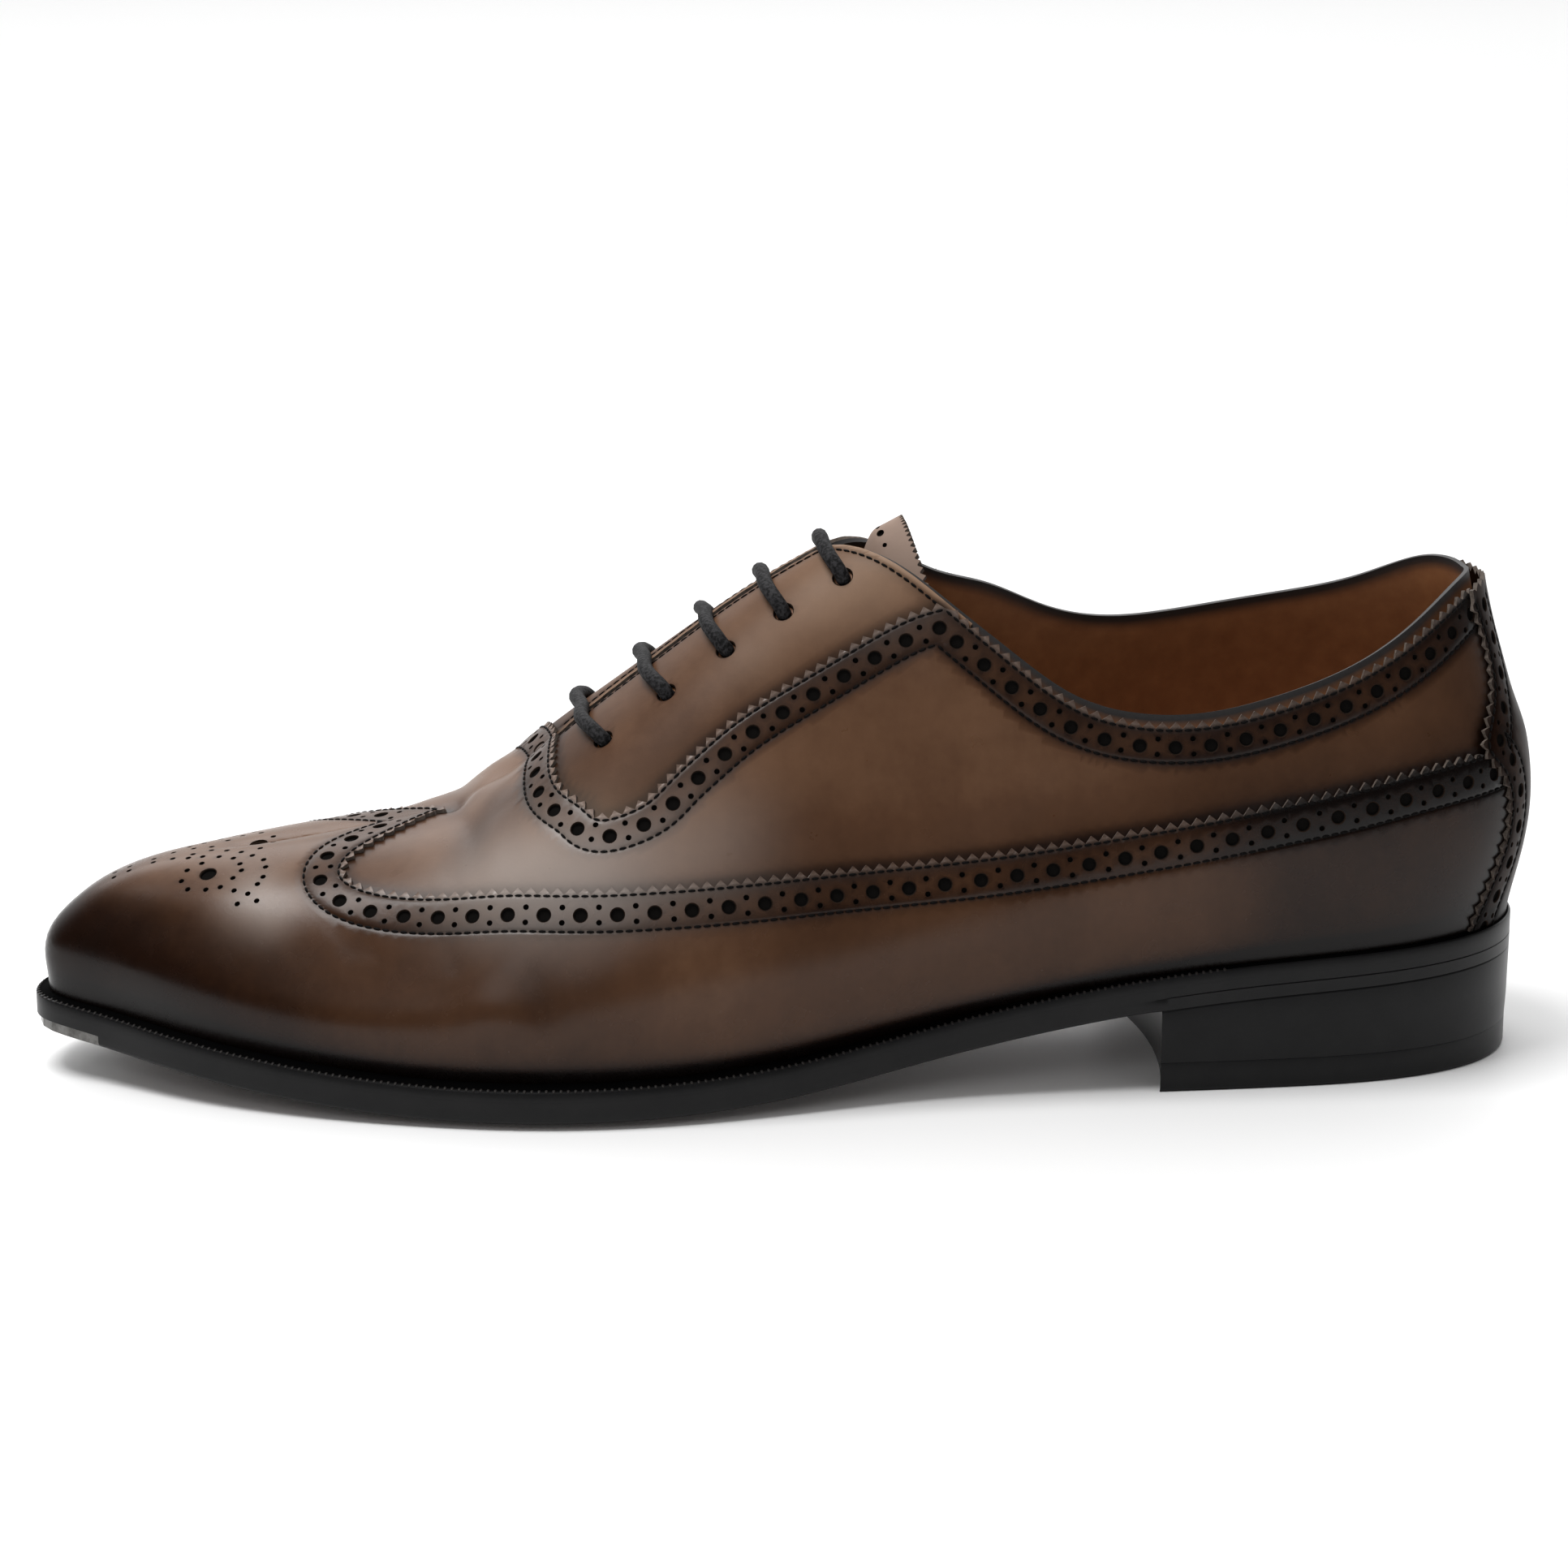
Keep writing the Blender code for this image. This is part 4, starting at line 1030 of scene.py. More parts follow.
# %% One panel
def panel(name, outlines, face, under, rows, edges, finish, tone, band, overlap_edges=()):
    """A leather panel over the last; face and under may be numbers or functions of places."""
    places, triangles = joined([filled(outline, rows) for outline in outlines])
    rows_tree, rim_tree = seam_tree(rows), seam_tree(edges)
    outer = skin(*places.T, lifted(places, face, rows_tree, rim_tree))
    inner = skin(*places.T, lift_at(under, places) - creased(last(*places.T)))
    faces, index = shell(turned_out(triangles, outer, places), len(places))
    # Polish with painted shade: above the welt, in creases, along seams and under overlapping edges
    burnish_and_shade = polish_and_shade(places, tone, band, rows_tree, rim_tree, seam_tree(list(overlap_edges)))
    # Painted sheen: the listed spots and the paler teeth, as a painted highlight
    painted_sheen = spotted(last(*places.T), PAINTED_SHEEN_SPOTS) + TOOTH_PAINTED_SHEEN * teeth(places, tone, rim_tree)
    values = {"burnish_and_shade": np.tile(burnish_and_shade, 2), "painted_sheen": np.tile(painted_sheen, 2)}
    made = mesh_object(name, np.vstack([outer, inner]), faces, [finish, cut_edge], index, values)
    print(name, len(faces), "triangles")
    return made

# %% [markdown]
# ## The pattern
#
# The seams are drawn once on the lateral side and mirrored. Each band has the same make-up from its
# gimped edge inwards: a stitch row, a row of punched holes and a second stitch row. Where two bands
# meet, a row stops at the row of the other band, as a closer would turn the corner.

# %% Seam lines and stitch rows
FIRST_ROW, HOLE_ROW, LAST_ROW = 0.95, 4.25, 7.2
WING_HOLE_ROW, WING_LAST_ROW = 4.7, 7.9
LINE_POINTS = 400
TUCK = 3.5
THROAT_END = THROAT_EDGE[-1].along / 100
UNDER_STRAP = Place(5.4, 19.0)
PAST_COLLAR = Place(38.0, 57.6)

wing_line = line(WING_EDGE, LINE_POINTS)
throat_line = line(THROAT_EDGE, LINE_POINTS)
strap_line = line(STRAP_EDGE, LINE_POINTS)
wing_base = line((UNDER_STRAP, *WING_EDGE), LINE_POINTS)
throat_base = line((*THROAT_EDGE, PAST_COLLAR), LINE_POINTS)
COLLAR_DROP = 0.006
COLLAR_FROM, COLLAR_TO = 0.035, 0.435
COLLAR_HOLES_CLEAR = 3.2


def collar_line(start, end, medial):
    """Places on the quarter's top edge between two places along, counted from the heel."""
    along = np.linspace(start, end, LINE_POINTS)
    along = 2 - along if medial else along
    return np.stack([along, top_edge(along) - COLLAR_DROP], 1)


def away_from(row, base, distance):
    """The part of a row that keeps a distance from another seam's edge."""
    return row[distances(last(*row.T), nearest(last(*base.T))) >= distance]


def outside_throat(row, base):
    """The part of a collar row that lies below the throat's edge."""
    back = base[len(base) // 2 :]
    back = back[np.argsort(from_heel(back[:, 0]))]
    place = from_heel(row[:, 0])
    edge = np.interp(place, from_heel(back[:, 0]), back[:, 1])
    return row[(place < THROAT_END) | (row[:, 1] < edge)]


def below_collar(row):
    return row[row[:, 1] < top_edge(row[:, 0]) - COLLAR_DROP]


def side_rows(medial):
    """Stitch rows and hole rows of one side, by panel."""
    sign, flip = side_of(medial)
    wing, throat = flip(wing_base), flip(throat_base)
    collar = collar_line(COLLAR_FROM, COLLAR_TO, medial)
    found = {}
    found["wing"] = [to_ridge(beside(wing, -sign * away)) for away in (FIRST_ROW, WING_LAST_ROW)]
    found["wing_holes"] = to_ridge(beside(wing, -sign * WING_HOLE_ROW))
    bands = []
    for away in (FIRST_ROW, LAST_ROW, HOLE_ROW):
        row = to_ridge(beside(throat, sign * away)[::-1])[::-1]
        row = away_from(below_collar(row), collar, away)
        other = outside_throat(beside(collar, -sign * away), throat)
        bands.append((row, away_from(other, throat, away)))
    found["quarter"] = [*bands[0], *bands[1]]
    found["throat_holes"] = bands[2][0]
    found["collar_holes"] = away_from(bands[2][1], throat, HOLE_ROW + COLLAR_HOLES_CLEAR)
    return found


lateral_rows, medial_rows = side_rows(False), side_rows(True)


STRAP_ROW_DROP, STRAP_HOLE_DROP = 0.02, 0.03


def heel_mirrored(places):
    return np.stack([-places[:, 0], places[:, 1]], 1)


def rows_of_strap(distances_in, drop):
    """Rows at distances inside both edges of the strap, which end below the collar."""
    rows = [beside(strap_line, away) for away in distances_in]
    rows += [beside(heel_mirrored(strap_line), -away) for away in distances_in]
    return [row[row[:, 1] < top_edge(row[:, 0]) - drop] for row in rows]


strap_rows = rows_of_strap((FIRST_ROW, LAST_ROW), STRAP_ROW_DROP)
strap_hole_rows = rows_of_strap((HOLE_ROW,), STRAP_HOLE_DROP)
print("rows:", {key: len(value) for key, value in lateral_rows.items()})

# %% [markdown]
# The outlines: the quarter and vamp are one piece that dips under the wing and the strap, the wing
# wraps the toe and runs back to the heel, and the strap covers the back seam.

# %% Outlines of the panels
RIM_STEP = 1.3
CORNER_GAP, TUCK_GAP, COLLAR_GAP = 0.012, 0.03, 0.004
STRAP_TOP_POINTS = 160


def straight(start, end, pitch):
    """Places between two ends, both left out."""
    return even(np.array([start, end], float), pitch)[1:-1]


tucked_wing = to_ridge(even(beside(wing_line, -TUCK), RIM_STEP))
vamp_ridge = even(np.array([tucked_wing[-1], throat_line[0]]), RIM_STEP)
vamp_ridge[:, 1] = 1.0


def quarter_outline(medial):
    sign, flip = side_of(medial)
    wing = even(beside(flip(wing_line), -sign * TUCK), RIM_STEP)
    wing = wing[wing[:, 1] < 1 - RIDGE_KEEP]
    throat = gimped(flip(throat_line), -sign)
    ridge = flip(vamp_ridge)
    strap = even(beside(flip(strap_line), sign * TUCK), RIM_STEP)
    strap = strap[strap[:, 1] > wing[0, 1] + TUCK_GAP][::-1]
    collar = collar_line(2 - strap[0, 0] if medial else strap[0, 0], THROAT_END - COLLAR_GAP, medial)
    collar = gimped(collar, sign)[::-1]
    strap = strap[strap[:, 1] < collar[-1, 1] - CORNER_GAP]
    return np.vstack([wing, ridge, throat[:-1], collar, strap])


def wing_outline():
    wing = np.vstack([gimped(wing_line, 1), wing_line[-1:]])
    wing[-1, 1] = 1.0
    straps = []
    for sign, flip in (side_of(False), side_of(True)):
        strap = even(beside(flip(strap_line), sign * TUCK), RIM_STEP)
        start = gimped(flip(wing_line), sign)[0, 1]
        strap = strap[strap[:, 1] < start - CORNER_GAP]
        strap[0, 1] = 0.0
        straps.append(strap)
    strap, other_strap = straps
    feather = straight(strap[0], (1.0, 0.0), RIM_STEP)
    feather = np.vstack([feather, [(1.0, 0.0)], mirrored(feather)[::-1]])
    ridge = straight(wing[-1], (1.0, 1.0), RIM_STEP)
    ridge = np.vstack([mirrored(ridge), [(1.0, 1.0)], ridge[::-1]])
    ridge[:, 1] = 1.0
    return np.vstack([feather, other_strap, mirrored(wing), ridge, wing[::-1], strap[::-1]])


def strap_outline():
    edge = gimped(strap_line, -1)
    edge[0, 1] = 0.0
    edge = edge[edge[:, 1] < top_edge(edge[:, 0]) - 3 * COLLAR_DROP]
    other = heel_mirrored(edge)
    feather = straight(other[0], edge[0], RIM_STEP)
    top = np.linspace(edge[-1, 0], -edge[-1, 0], STRAP_TOP_POINTS)
    top = gimped(np.stack([top, top_edge(top) - COLLAR_DROP], 1), -1)
    return np.vstack([feather, edge, top, other[::-1]])

# %% [markdown]
# The facings lie under the quarter and carry the eyelets. Each is its own strip with a cut edge at the
# gap, and in front they run under the vamp.

# %% Cutting the panels
FACING_FACE, FACING_UNDER = -0.9, -1.85
FACING_TUCK = 9.0
FACING_FRONT, FACING_BACK, FACING_TUCK_BACK = 0.705, 0.392, 0.395
FACING_FRONT_POINTS, FACING_POINTS = 8, 500
FACING_SEAM, FACING_ROW_STEP = 1.5, 0.8
RIDGE_SHY = 0.004
STRAP_LOW, STRAP_HIGH, STRAP_THICKNESS = 1.0, 1.9, 0.9
STRAP_STEP_FROM, STRAP_STEP = 0.24, 0.06


def facing_edge(medial):
    """The facing's free edge, from the front of the gap to the collar below the throat's end."""
    front = np.linspace(FACING_FRONT, THROAT_FRONT, FACING_FRONT_POINTS)[:-1]
    along = np.concatenate([front, np.linspace(THROAT_FRONT, FACING_BACK, FACING_POINTS)])
    closed = along >= THROAT_FRONT - SAME_PLACE
    along = 2 - along if medial else along
    up = np.where(closed, top_edge(np.full_like(along, THROAT_FRONT - ALONG_STEP)), top_edge(along))
    return np.stack([along, np.minimum(up, 1 - RIDGE_SHY)], 1)


def facing_outline(medial):
    sign, flip = side_of(medial)
    free = even(facing_edge(medial), RIM_STEP)
    tuck = even(beside(flip(throat_base), sign * FACING_TUCK), RIM_STEP)
    place = from_heel(tuck[:, 0])
    tuck = tuck[(tuck[:, 1] < 1 - 4 * RIDGE_SHY) & (place < FACING_FRONT) & (place > FACING_TUCK_BACK)]
    return np.vstack([free, below_collar(tuck)[::-1]])


def facing_row(medial):
    sign, flip = side_of(medial)
    edge = facing_edge(medial)
    edge = edge[from_heel(edge[:, 0]) < THROAT_FRONT - RIDGE_SHY]
    row = beside(even(edge, FACING_ROW_STEP), sign * FACING_SEAM)
    return away_from(row, flip(throat_line), FACING_SEAM)


def strap_face(places):
    return STRAP_LOW + (STRAP_HIGH - STRAP_LOW) * smooth((STRAP_STEP_FROM - places[:, 1]) / STRAP_STEP)

# %% [markdown]
# Each panel has a tone of its own before polish: tan on the vamp, brown on the sides, dark at the heel.

# %% Tones and panels
QUARTER_TONE, VAMP_LIGHT = 0.21, Shade(-0.18, 10.0, -50.0)
QUARTER_BACK = Shade(0.13, 20.0, 110.0)
WING_TONE, WING_LIGHT = 0.36, Shade(-0.2, 0.3, 0.52)
WING_BACK = Shade(0.34, 72.0, 100.0)
FACING_TONE, FACING_LIGHT = 0.2, Shade(-0.2, -30.0, 16.0)
STRAP_TONE = 0.74
QUARTER_BAND, WING_BAND, NO_BAND = 0.3, 0.17, 0.0
WING_UNDER = 0.05
COLLAR_RIM_FROM = 0.05


def quarter_tone(places, points):
    """Brown quarters that pale towards the vamp and darken towards the heel."""
    return QUARTER_TONE + shaded(VAMP_LIGHT, points[:, 0]) + shaded(QUARTER_BACK, points[:, 0])


def wing_tone(places, points):
    """Brown sides that pale up the toe's top and go dark round the heel."""
    return WING_TONE + shaded(WING_LIGHT, places[:, 1]) + shaded(WING_BACK, points[:, 0])


def strap_tone(places, points):
    return np.full(len(points), STRAP_TONE)


def facing_tone(places, points):
    return FACING_TONE + shaded(FACING_LIGHT, points[:, 0])


facing_rows = [facing_row(False), facing_row(True)]
wing_rows = lateral_rows["wing"] + medial_rows["wing"]
quarter_rows = lateral_rows["quarter"] + medial_rows["quarter"]
throats = [throat_line, mirrored(throat_line)]
collars = [collar_line(COLLAR_RIM_FROM, THROAT_END, medial) for medial in (False, True)]
wing_edges = [wing_line, mirrored(wing_line)]
strap_edges = [strap_line, mirrored(strap_line)]
quarter = panel(
    "vamp_quarter_leather",
    [quarter_outline(False), quarter_outline(True)],
    VAMP_FACE,
    LAYER_UNDERSIDE,
    quarter_rows,
    throats + collars,
    vamp_calf,
    quarter_tone,
    QUARTER_BAND,
    wing_edges + strap_edges,
)
wing = panel(
    "longwing_leather",
    [wing_outline()],
    WING_FACE,
    WING_UNDER,
    wing_rows,
    wing_edges,
    wing_calf,
    wing_tone,
    WING_BAND,
    strap_edges,
)
strap = panel(
    "heel_strap_leather",
    [strap_outline()],
    strap_face,
    lambda places: strap_face(places) - STRAP_THICKNESS,
    strap_rows,
    [strap_line, heel_mirrored(strap_line)],
    strap_calf,
    strap_tone,
    NO_BAND,
)
facings = []
for name, medial in (("facing_lateral", False), ("facing_medial", True)):
    facings.append(
        panel(
            name,
            [facing_outline(medial)],
            FACING_FACE,
            FACING_UNDER,
            [facing_rows[medial]],
            [facing_edge(medial)],
            facing_calf,
            facing_tone,
            NO_BAND,
            [throats[medial]],
        )
    )

# %% [markdown]
# ## Punched holes
#
# The broguing is punched through the top leather with round punches, big holes with a pair of small
# ones between, and the toe carries a medallion. A texture would lie flat at a grazing light, so each
# hole is cut: Geometry Nodes put a small punch on every guide point, turned to the leather's normal,
# and a Boolean takes them all out of the panel at once.

# %% Geometry Nodes helpers
def group(name, inputs):
    """A geometry tree with named inputs, its input node and its output node."""
    tree = bpy.data.node_groups.new(name, "GeometryNodeTree")
    for label, kind in inputs:
        tree.interface.new_socket(label, in_out="INPUT", socket_type=kind)
    tree.interface.new_socket("Made", in_out="OUTPUT", socket_type="NodeSocketGeometry")
    return tree, add(tree, "NodeGroupInput"), add(tree, "NodeGroupOutput")


def vector_value(tree, name):
    kind = "GeometryNodeInputNamedAttribute"
    return add(tree, kind, {"Name": name}, data_type="FLOAT_VECTOR").outputs["Attribute"]


def placed(tree, guides, template, finish):
    """Copies of a template on guide points, turned and sized by their values, as one mesh with a finish."""
    axes = {"Primary Axis": vector_value(tree, "out"), "Secondary Axis": vector_value(tree, "run")}
    turn = add(tree, "FunctionNodeAxesToRotation", axes, primary_axis="Z", secondary_axis="X")
    inputs = {
        "Points": guides,
        "Instance": template,
        "Rotation": turn.outputs[0],
        "Scale": vector_value(tree, "size"),
    }
    copies = add(tree, "GeometryNodeInstanceOnPoints", inputs)
    whole = add(tree, "GeometryNodeRealizeInstances", {"Geometry": copies.outputs[0]}).outputs[0]
    return add(tree, "GeometryNodeSetMaterial", {"Geometry": whole, "Material": finish}).outputs[0]


def guide_object(name, points, outs, runs, sizes):
    """Loose points in metres with a normal, a run and a size each."""
    mesh = bpy.data.meshes.new(name)
    mesh.from_pydata((points * MM).tolist(), [], [])
    for key, rows in (("out", outs), ("run", runs), ("size", sizes * MM)):
        layer = mesh.attributes.new(key, "FLOAT_VECTOR", "POINT")
        layer.data.foreach_set("vector", np.asarray(rows, np.float32).reshape(-1))
    return linked(name, mesh)


def plain_mesh(made):
    """The mesh that an object shows, with its modifiers applied."""
    bpy.context.view_layer.update()
    graph = bpy.context.evaluated_depsgraph_get()
    shape = made.evaluated_get(graph)
    return bpy.data.meshes.new_from_object(shape, preserve_all_data_layers=True, depsgraph=graph)


def evaluated(made, tree, **inputs):
    """The plain mesh that a geometry tree makes from an object, which loses the modifier again."""
    modifier = made.modifiers.new(tree.name, "NODES")
    modifier.node_group = tree
    for item in tree.interface.items_tree:
        if item.in_out == "INPUT" and item.name in inputs:
            modifier[item.identifier] = inputs[item.name]
    mesh = plain_mesh(made)
    made.modifiers.remove(modifier)
    return mesh


def drop(made):
    bpy.data.objects.remove(made, do_unlink=True)

# %% [markdown]
# The punch is a small turned solid. The blind one stops inside the leather, which gives the dark floor
# of the broguing, and the other goes through, for the eyelets.

# %% The punch
Turn = namedtuple("Turn", "radius height depth")
BLIND = (
    Turn(1.22, 1.1, 0.0),
    Turn(1.15, 0.0, 0.0),
    Turn(1.0, -0.2, 0.25),
    Turn(0.95, -0.68, 0.9),
)
THROUGH = (
    Turn(1.2, 1.4, 0.0),
    Turn(1.14, 0.0, 0.0),
    Turn(1.0, -0.25, 0.3),
    Turn(1.0, -2.2, 1.0),
)
PUNCH_SIDES = 18


def lathe(name, rows, sides):
    """A closed round solid, one millimetre in radius where a row says 1."""
    turns = np.linspace(0, 2 * np.pi, sides, endpoint=False)
    points = [(0, 0, rows[0].height)]
    depth = [rows[0].depth]
    for row in rows:
        ring = np.stack([row.radius * np.cos(turns), row.radius * np.sin(turns)], 1)
        points += [(x, y, row.height) for x, y in ring]
        depth += [row.depth] * sides
    points.append((0, 0, rows[-1].height))
    depth.append(1.0)
    faces = []
    for i in range(sides):
        j = (i + 1) % sides
        faces.append((0, 1 + i, 1 + j))
        for level in range(len(rows) - 1):
            a, b = 1 + level * sides, 1 + (level + 1) * sides
            faces.append((a + i, b + i, b + j, a + j))
        foot = 1 + (len(rows) - 1) * sides
        faces.append((len(points) - 1, foot + j, foot + i))
    made = mesh_object(name, np.array(points) / MM, faces, [], values={"depth": depth})
    made.hide_render = True
    return made


PUNCH_INPUTS = (
    ("Panel", "NodeSocketGeometry"),
    ("Guides", "NodeSocketObject"),
    ("Punch", "NodeSocketObject"),
    ("Finish", "NodeSocketMaterial"),
)


def shape_of(tree, socket):
    return add(tree, "GeometryNodeObjectInfo", {"Object": socket}).outputs["Geometry"]


punch_tree, given, made_out = group("punch", PUNCH_INPUTS)
guides = shape_of(punch_tree, given.outputs["Guides"])
tool = shape_of(punch_tree, given.outputs["Punch"])
cutters = placed(punch_tree, guides, tool, given.outputs["Finish"])
cut = add(
    punch_tree,
    "GeometryNodeMeshBoolean",
    {0: given.outputs["Panel"], 1: cutters},
    operation="DIFFERENCE",
    solver="MANIFOLD",
)
punch_tree.links.new(cut.outputs[0], made_out.inputs[0])
blind_punch = lathe("blind_punch", BLIND, PUNCH_SIDES)
through_punch = lathe("through_punch", THROUGH, PUNCH_SIDES)

# %% [markdown]
# Where the holes sit: the bands repeat at even pitches, with the pairs halfway. The medallion is a set
# of single places on the toe, drawn on the lateral half and mirrored.

# %% Hole places
BIG, SMALL, RING, EYELET = 1.3, 0.5, 1.6, 1.9
TWIN_OFFSET = 1.5
WING_PITCH, BAND_PITCH = 7.12, 6.87
MEDALLION_BIG = ((91.5, 59.5), (100.0, 96.5))
MEDALLION_SMALL = (
    (92.8, 53.8), (93.8, 60.9), (91.5, 49.8), (93.8, 66.7), (90.1, 50.9), (89.2, 53.1), (87.9, 52.2),
    (89.0, 58.4), (90.1, 67.2), (89.1, 63.1), (86.7, 51.5), (86.9, 46.5), (85.7, 48.9), (86.6, 56.4),
    (86.7, 60.2), (87.4, 65.7), (88.5, 70.4), (90.4, 73.7), (91.5, 80.8), (93.4, 91.0), (92.6, 77.3),
    (91.8, 71.4), (93.7, 72.8), (95.3, 80.5), (95.6, 73.2), (96.8, 71.7), (98.5, 70.0), (99.3, 64.5),
    (98.5, 82.0), (98.2, 76.0), (99.3, 50.2), (99.3, 56.0),
)


def band_holes(row, pitch):
    """Big holes at an even pitch along a row and small pairs halfway between, with their radii."""
    big = even(row, pitch)
    half = (big[1:] + big[:-1]) / 2
    twins = np.vstack([beside(half, TWIN_OFFSET), beside(half, -TWIN_OFFSET)])
    radii = np.concatenate([np.full(len(big), BIG), np.full(len(twins), SMALL)])
    return np.vstack([big, twins]), radii


def medallion_holes():
    big, small = np.array(MEDALLION_BIG) / 100, np.array(MEDALLION_SMALL) / 100
    places = np.vstack([big, mirrored(big[:1]), small, mirrored(small)])
    return places, np.repeat([RING, SMALL], [len(big) + 1, 2 * len(small)])

# %% [markdown]
# A cut leaves new points without polish, painted shade or painted sheen. Each takes these from the
# nearest old one, a little darker, or every hole would have a pale ring.

# %% Cutting the holes
RIM_SHADES = {"burnish_and_shade": 0.12, "painted_sheen": 0.0}
SAME_POINT = 0.01 * MM


def carried(old, new):
    """Gives new points of a cut the polish, painted shade and sheen of the nearest old one, a bit darker.
    """
    tree = nearest([vertex.co for vertex in old.vertices])
    found = [tree.find(vertex.co) for vertex in new.vertices]
    for name, shade in RIM_SHADES.items():
        if name in old.attributes:
            values = [item.value for item in old.attributes[name].data]
            for item, (_, index, gap) in zip(new.attributes[name].data, found):
                item.value = values[index] + shade * (gap > SAME_POINT)


def punch_out(made, tool, points, outs, runs, radii):
    """Cuts round holes at points of a piece, square to its surface."""
    sizes = np.stack([radii, radii, np.ones(len(radii))], 1)
    guide = guide_object("hole_guides", points, outs, runs, sizes)
    mesh = evaluated(made, punch_tree, Guides=guide, Punch=tool, Finish=hole_wall)
    carried(made.data, mesh)
    made.data = smoothed(mesh)
    drop(guide)
    print(made.name, len(points), "holes,", len(mesh.polygons), "faces")


def punched(made, holes, tool, lift):
    """Cuts holes, given as (places, radii), out of a panel."""
    places = np.vstack([hole[0] for hole in holes])
    radii = np.concatenate([hole[1] for hole in holes])
    kept = places[:, 1] < 1.0
    places, radii = places[kept], radii[kept]
    points = skin(*places.T, lift_at(lift, places) - creased(last(*places.T)))
    punch_out(made, tool, points, outward(*places.T), unit(rate(places)[0]), radii)


def holes_of(band, pitch):
    """The holes of one band on both sides."""
    return [band_holes(rows[band], pitch) for rows in (lateral_rows, medial_rows)]


eyelets = (np.array(EYELET_TOP) + np.arange(EYELETS)[:, None] * (EYELET_PITCH, -EYELET_DROP)) / 100
punched(wing, holes_of("wing_holes", WING_PITCH) + [medallion_holes()], blind_punch, WING_FACE)
quarter_holes = holes_of("throat_holes", BAND_PITCH) + holes_of("collar_holes", BAND_PITCH)
punched(quarter, quarter_holes, blind_punch, VAMP_FACE)
punched(strap, [band_holes(row, BAND_PITCH) for row in strap_hole_rows], blind_punch, strap_face)
for made, places in zip(facings, (eyelets, mirrored(eyelets))):
    punched(made, [(places, np.full(EYELETS, EYELET))], through_punch, FACING_FACE)

# %% [markdown]
# ## Stitches
#
# The thread is waxed and almost black, and each stitch is a short bead that dips into the leather at
# both ends. They are copies of one small rounded bead on guide points along every row.

# %% Thread
STITCH_PITCH = 1.85
STITCH_SIZE = (0.8, 0.27, 0.22)
STITCH_SINK = 0.1
BEAD_INPUTS = (("Guides", "NodeSocketGeometry"), ("Finish", "NodeSocketMaterial"))
BEAD = {"Segments": 8, "Rings": 5, "Radius": 1.0}
bead_tree, given, made_out = group("beads", BEAD_INPUTS)
bead = add(bead_tree, "GeometryNodeMeshUVSphere", BEAD).outputs["Mesh"]
beads = placed(bead_tree, given.outputs["Guides"], bead, given.outputs["Finish"])
beads = add(bead_tree, "GeometryNodeSetShadeSmooth", {"Geometry": beads}).outputs[0]
bead_tree.links.new(beads, made_out.inputs[0])


def stitch_guides(row, lift):
    """Middles, normals and runs of the stitches of one row."""
    ends = even(row, STITCH_PITCH)
    places = (ends[1:] + ends[:-1]) / 2
    height = lift_at(lift, places) - STITCH_SINK
    points = skin(*places.T, height - creased(last(*places.T)))
    return points, outward(*places.T), unit(last(*ends[1:].T) - last(*ends[:-1].T))


def bead_object(name, guides, size, finish):
    points, outs, runs = (np.vstack(part) for part in zip(*guides))
    guide = guide_object("bead_guides", points, outs, runs, np.tile(size, (len(points), 1)))
    mesh = evaluated(guide, bead_tree, Finish=finish)
    drop(guide)
    mesh.name = name
    print(name, len(points), "beads")
    return linked(name, mesh)


stitched = [(row, WING_FACE) for row in wing_rows] + [(row, VAMP_FACE) for row in quarter_rows]
stitched += [(row, strap_face) for row in strap_rows] + [(row, FACING_FACE) for row in facing_rows]
stitch_rows = [stitch_guides(row, lift) for row, lift in stitched]
stitches = bead_object("stitches", stitch_rows, STITCH_SIZE, thread)

# %% [markdown]
# ## Lining, tongue and lace
#
# The lining is one smooth tan leather wall inside all panels. Its top stands a little above the
# quarter's teeth and is painted dark, which gives the double edge round the collar. It is a plain grid
# over the last, closed along the ridge in front of the throat.

# %% Lining
LINING_OUTER, LINING_INNER = -1.95, -2.9
LINING_COLUMNS, LINING_ROWS = 260, 44
LINING_LIP, LINING_CROWDING = 0.007, 1.25
PAINTED_EDGE, PAINT_FULL, FEATHER_RIM = 2.2, 1.5, 0.1
LINING_TAN = ((0.25, (0.23, 0.088, 0.03)), (0.75, (0.33, 0.135, 0.05)))
EDGE_PAINT = (0.012, 0.01, 0.01, 1.0)


def lining_finish():
    made, tree, shader = finish_of("lining_calf", Roughness=0.55)
    natural = ramp(tree, noise(tree, 220.0, 4.0), LINING_TAN)
    mixed = mixed_colour(tree, point_value(tree, "paint"), natural, EDGE_PAINT)
    tree.links.new(mixed, shader.inputs["Base Color"])
    bumped(tree, shader, noise(tree, 1300.0, 3.0), 0.25, 0.06)
    return made


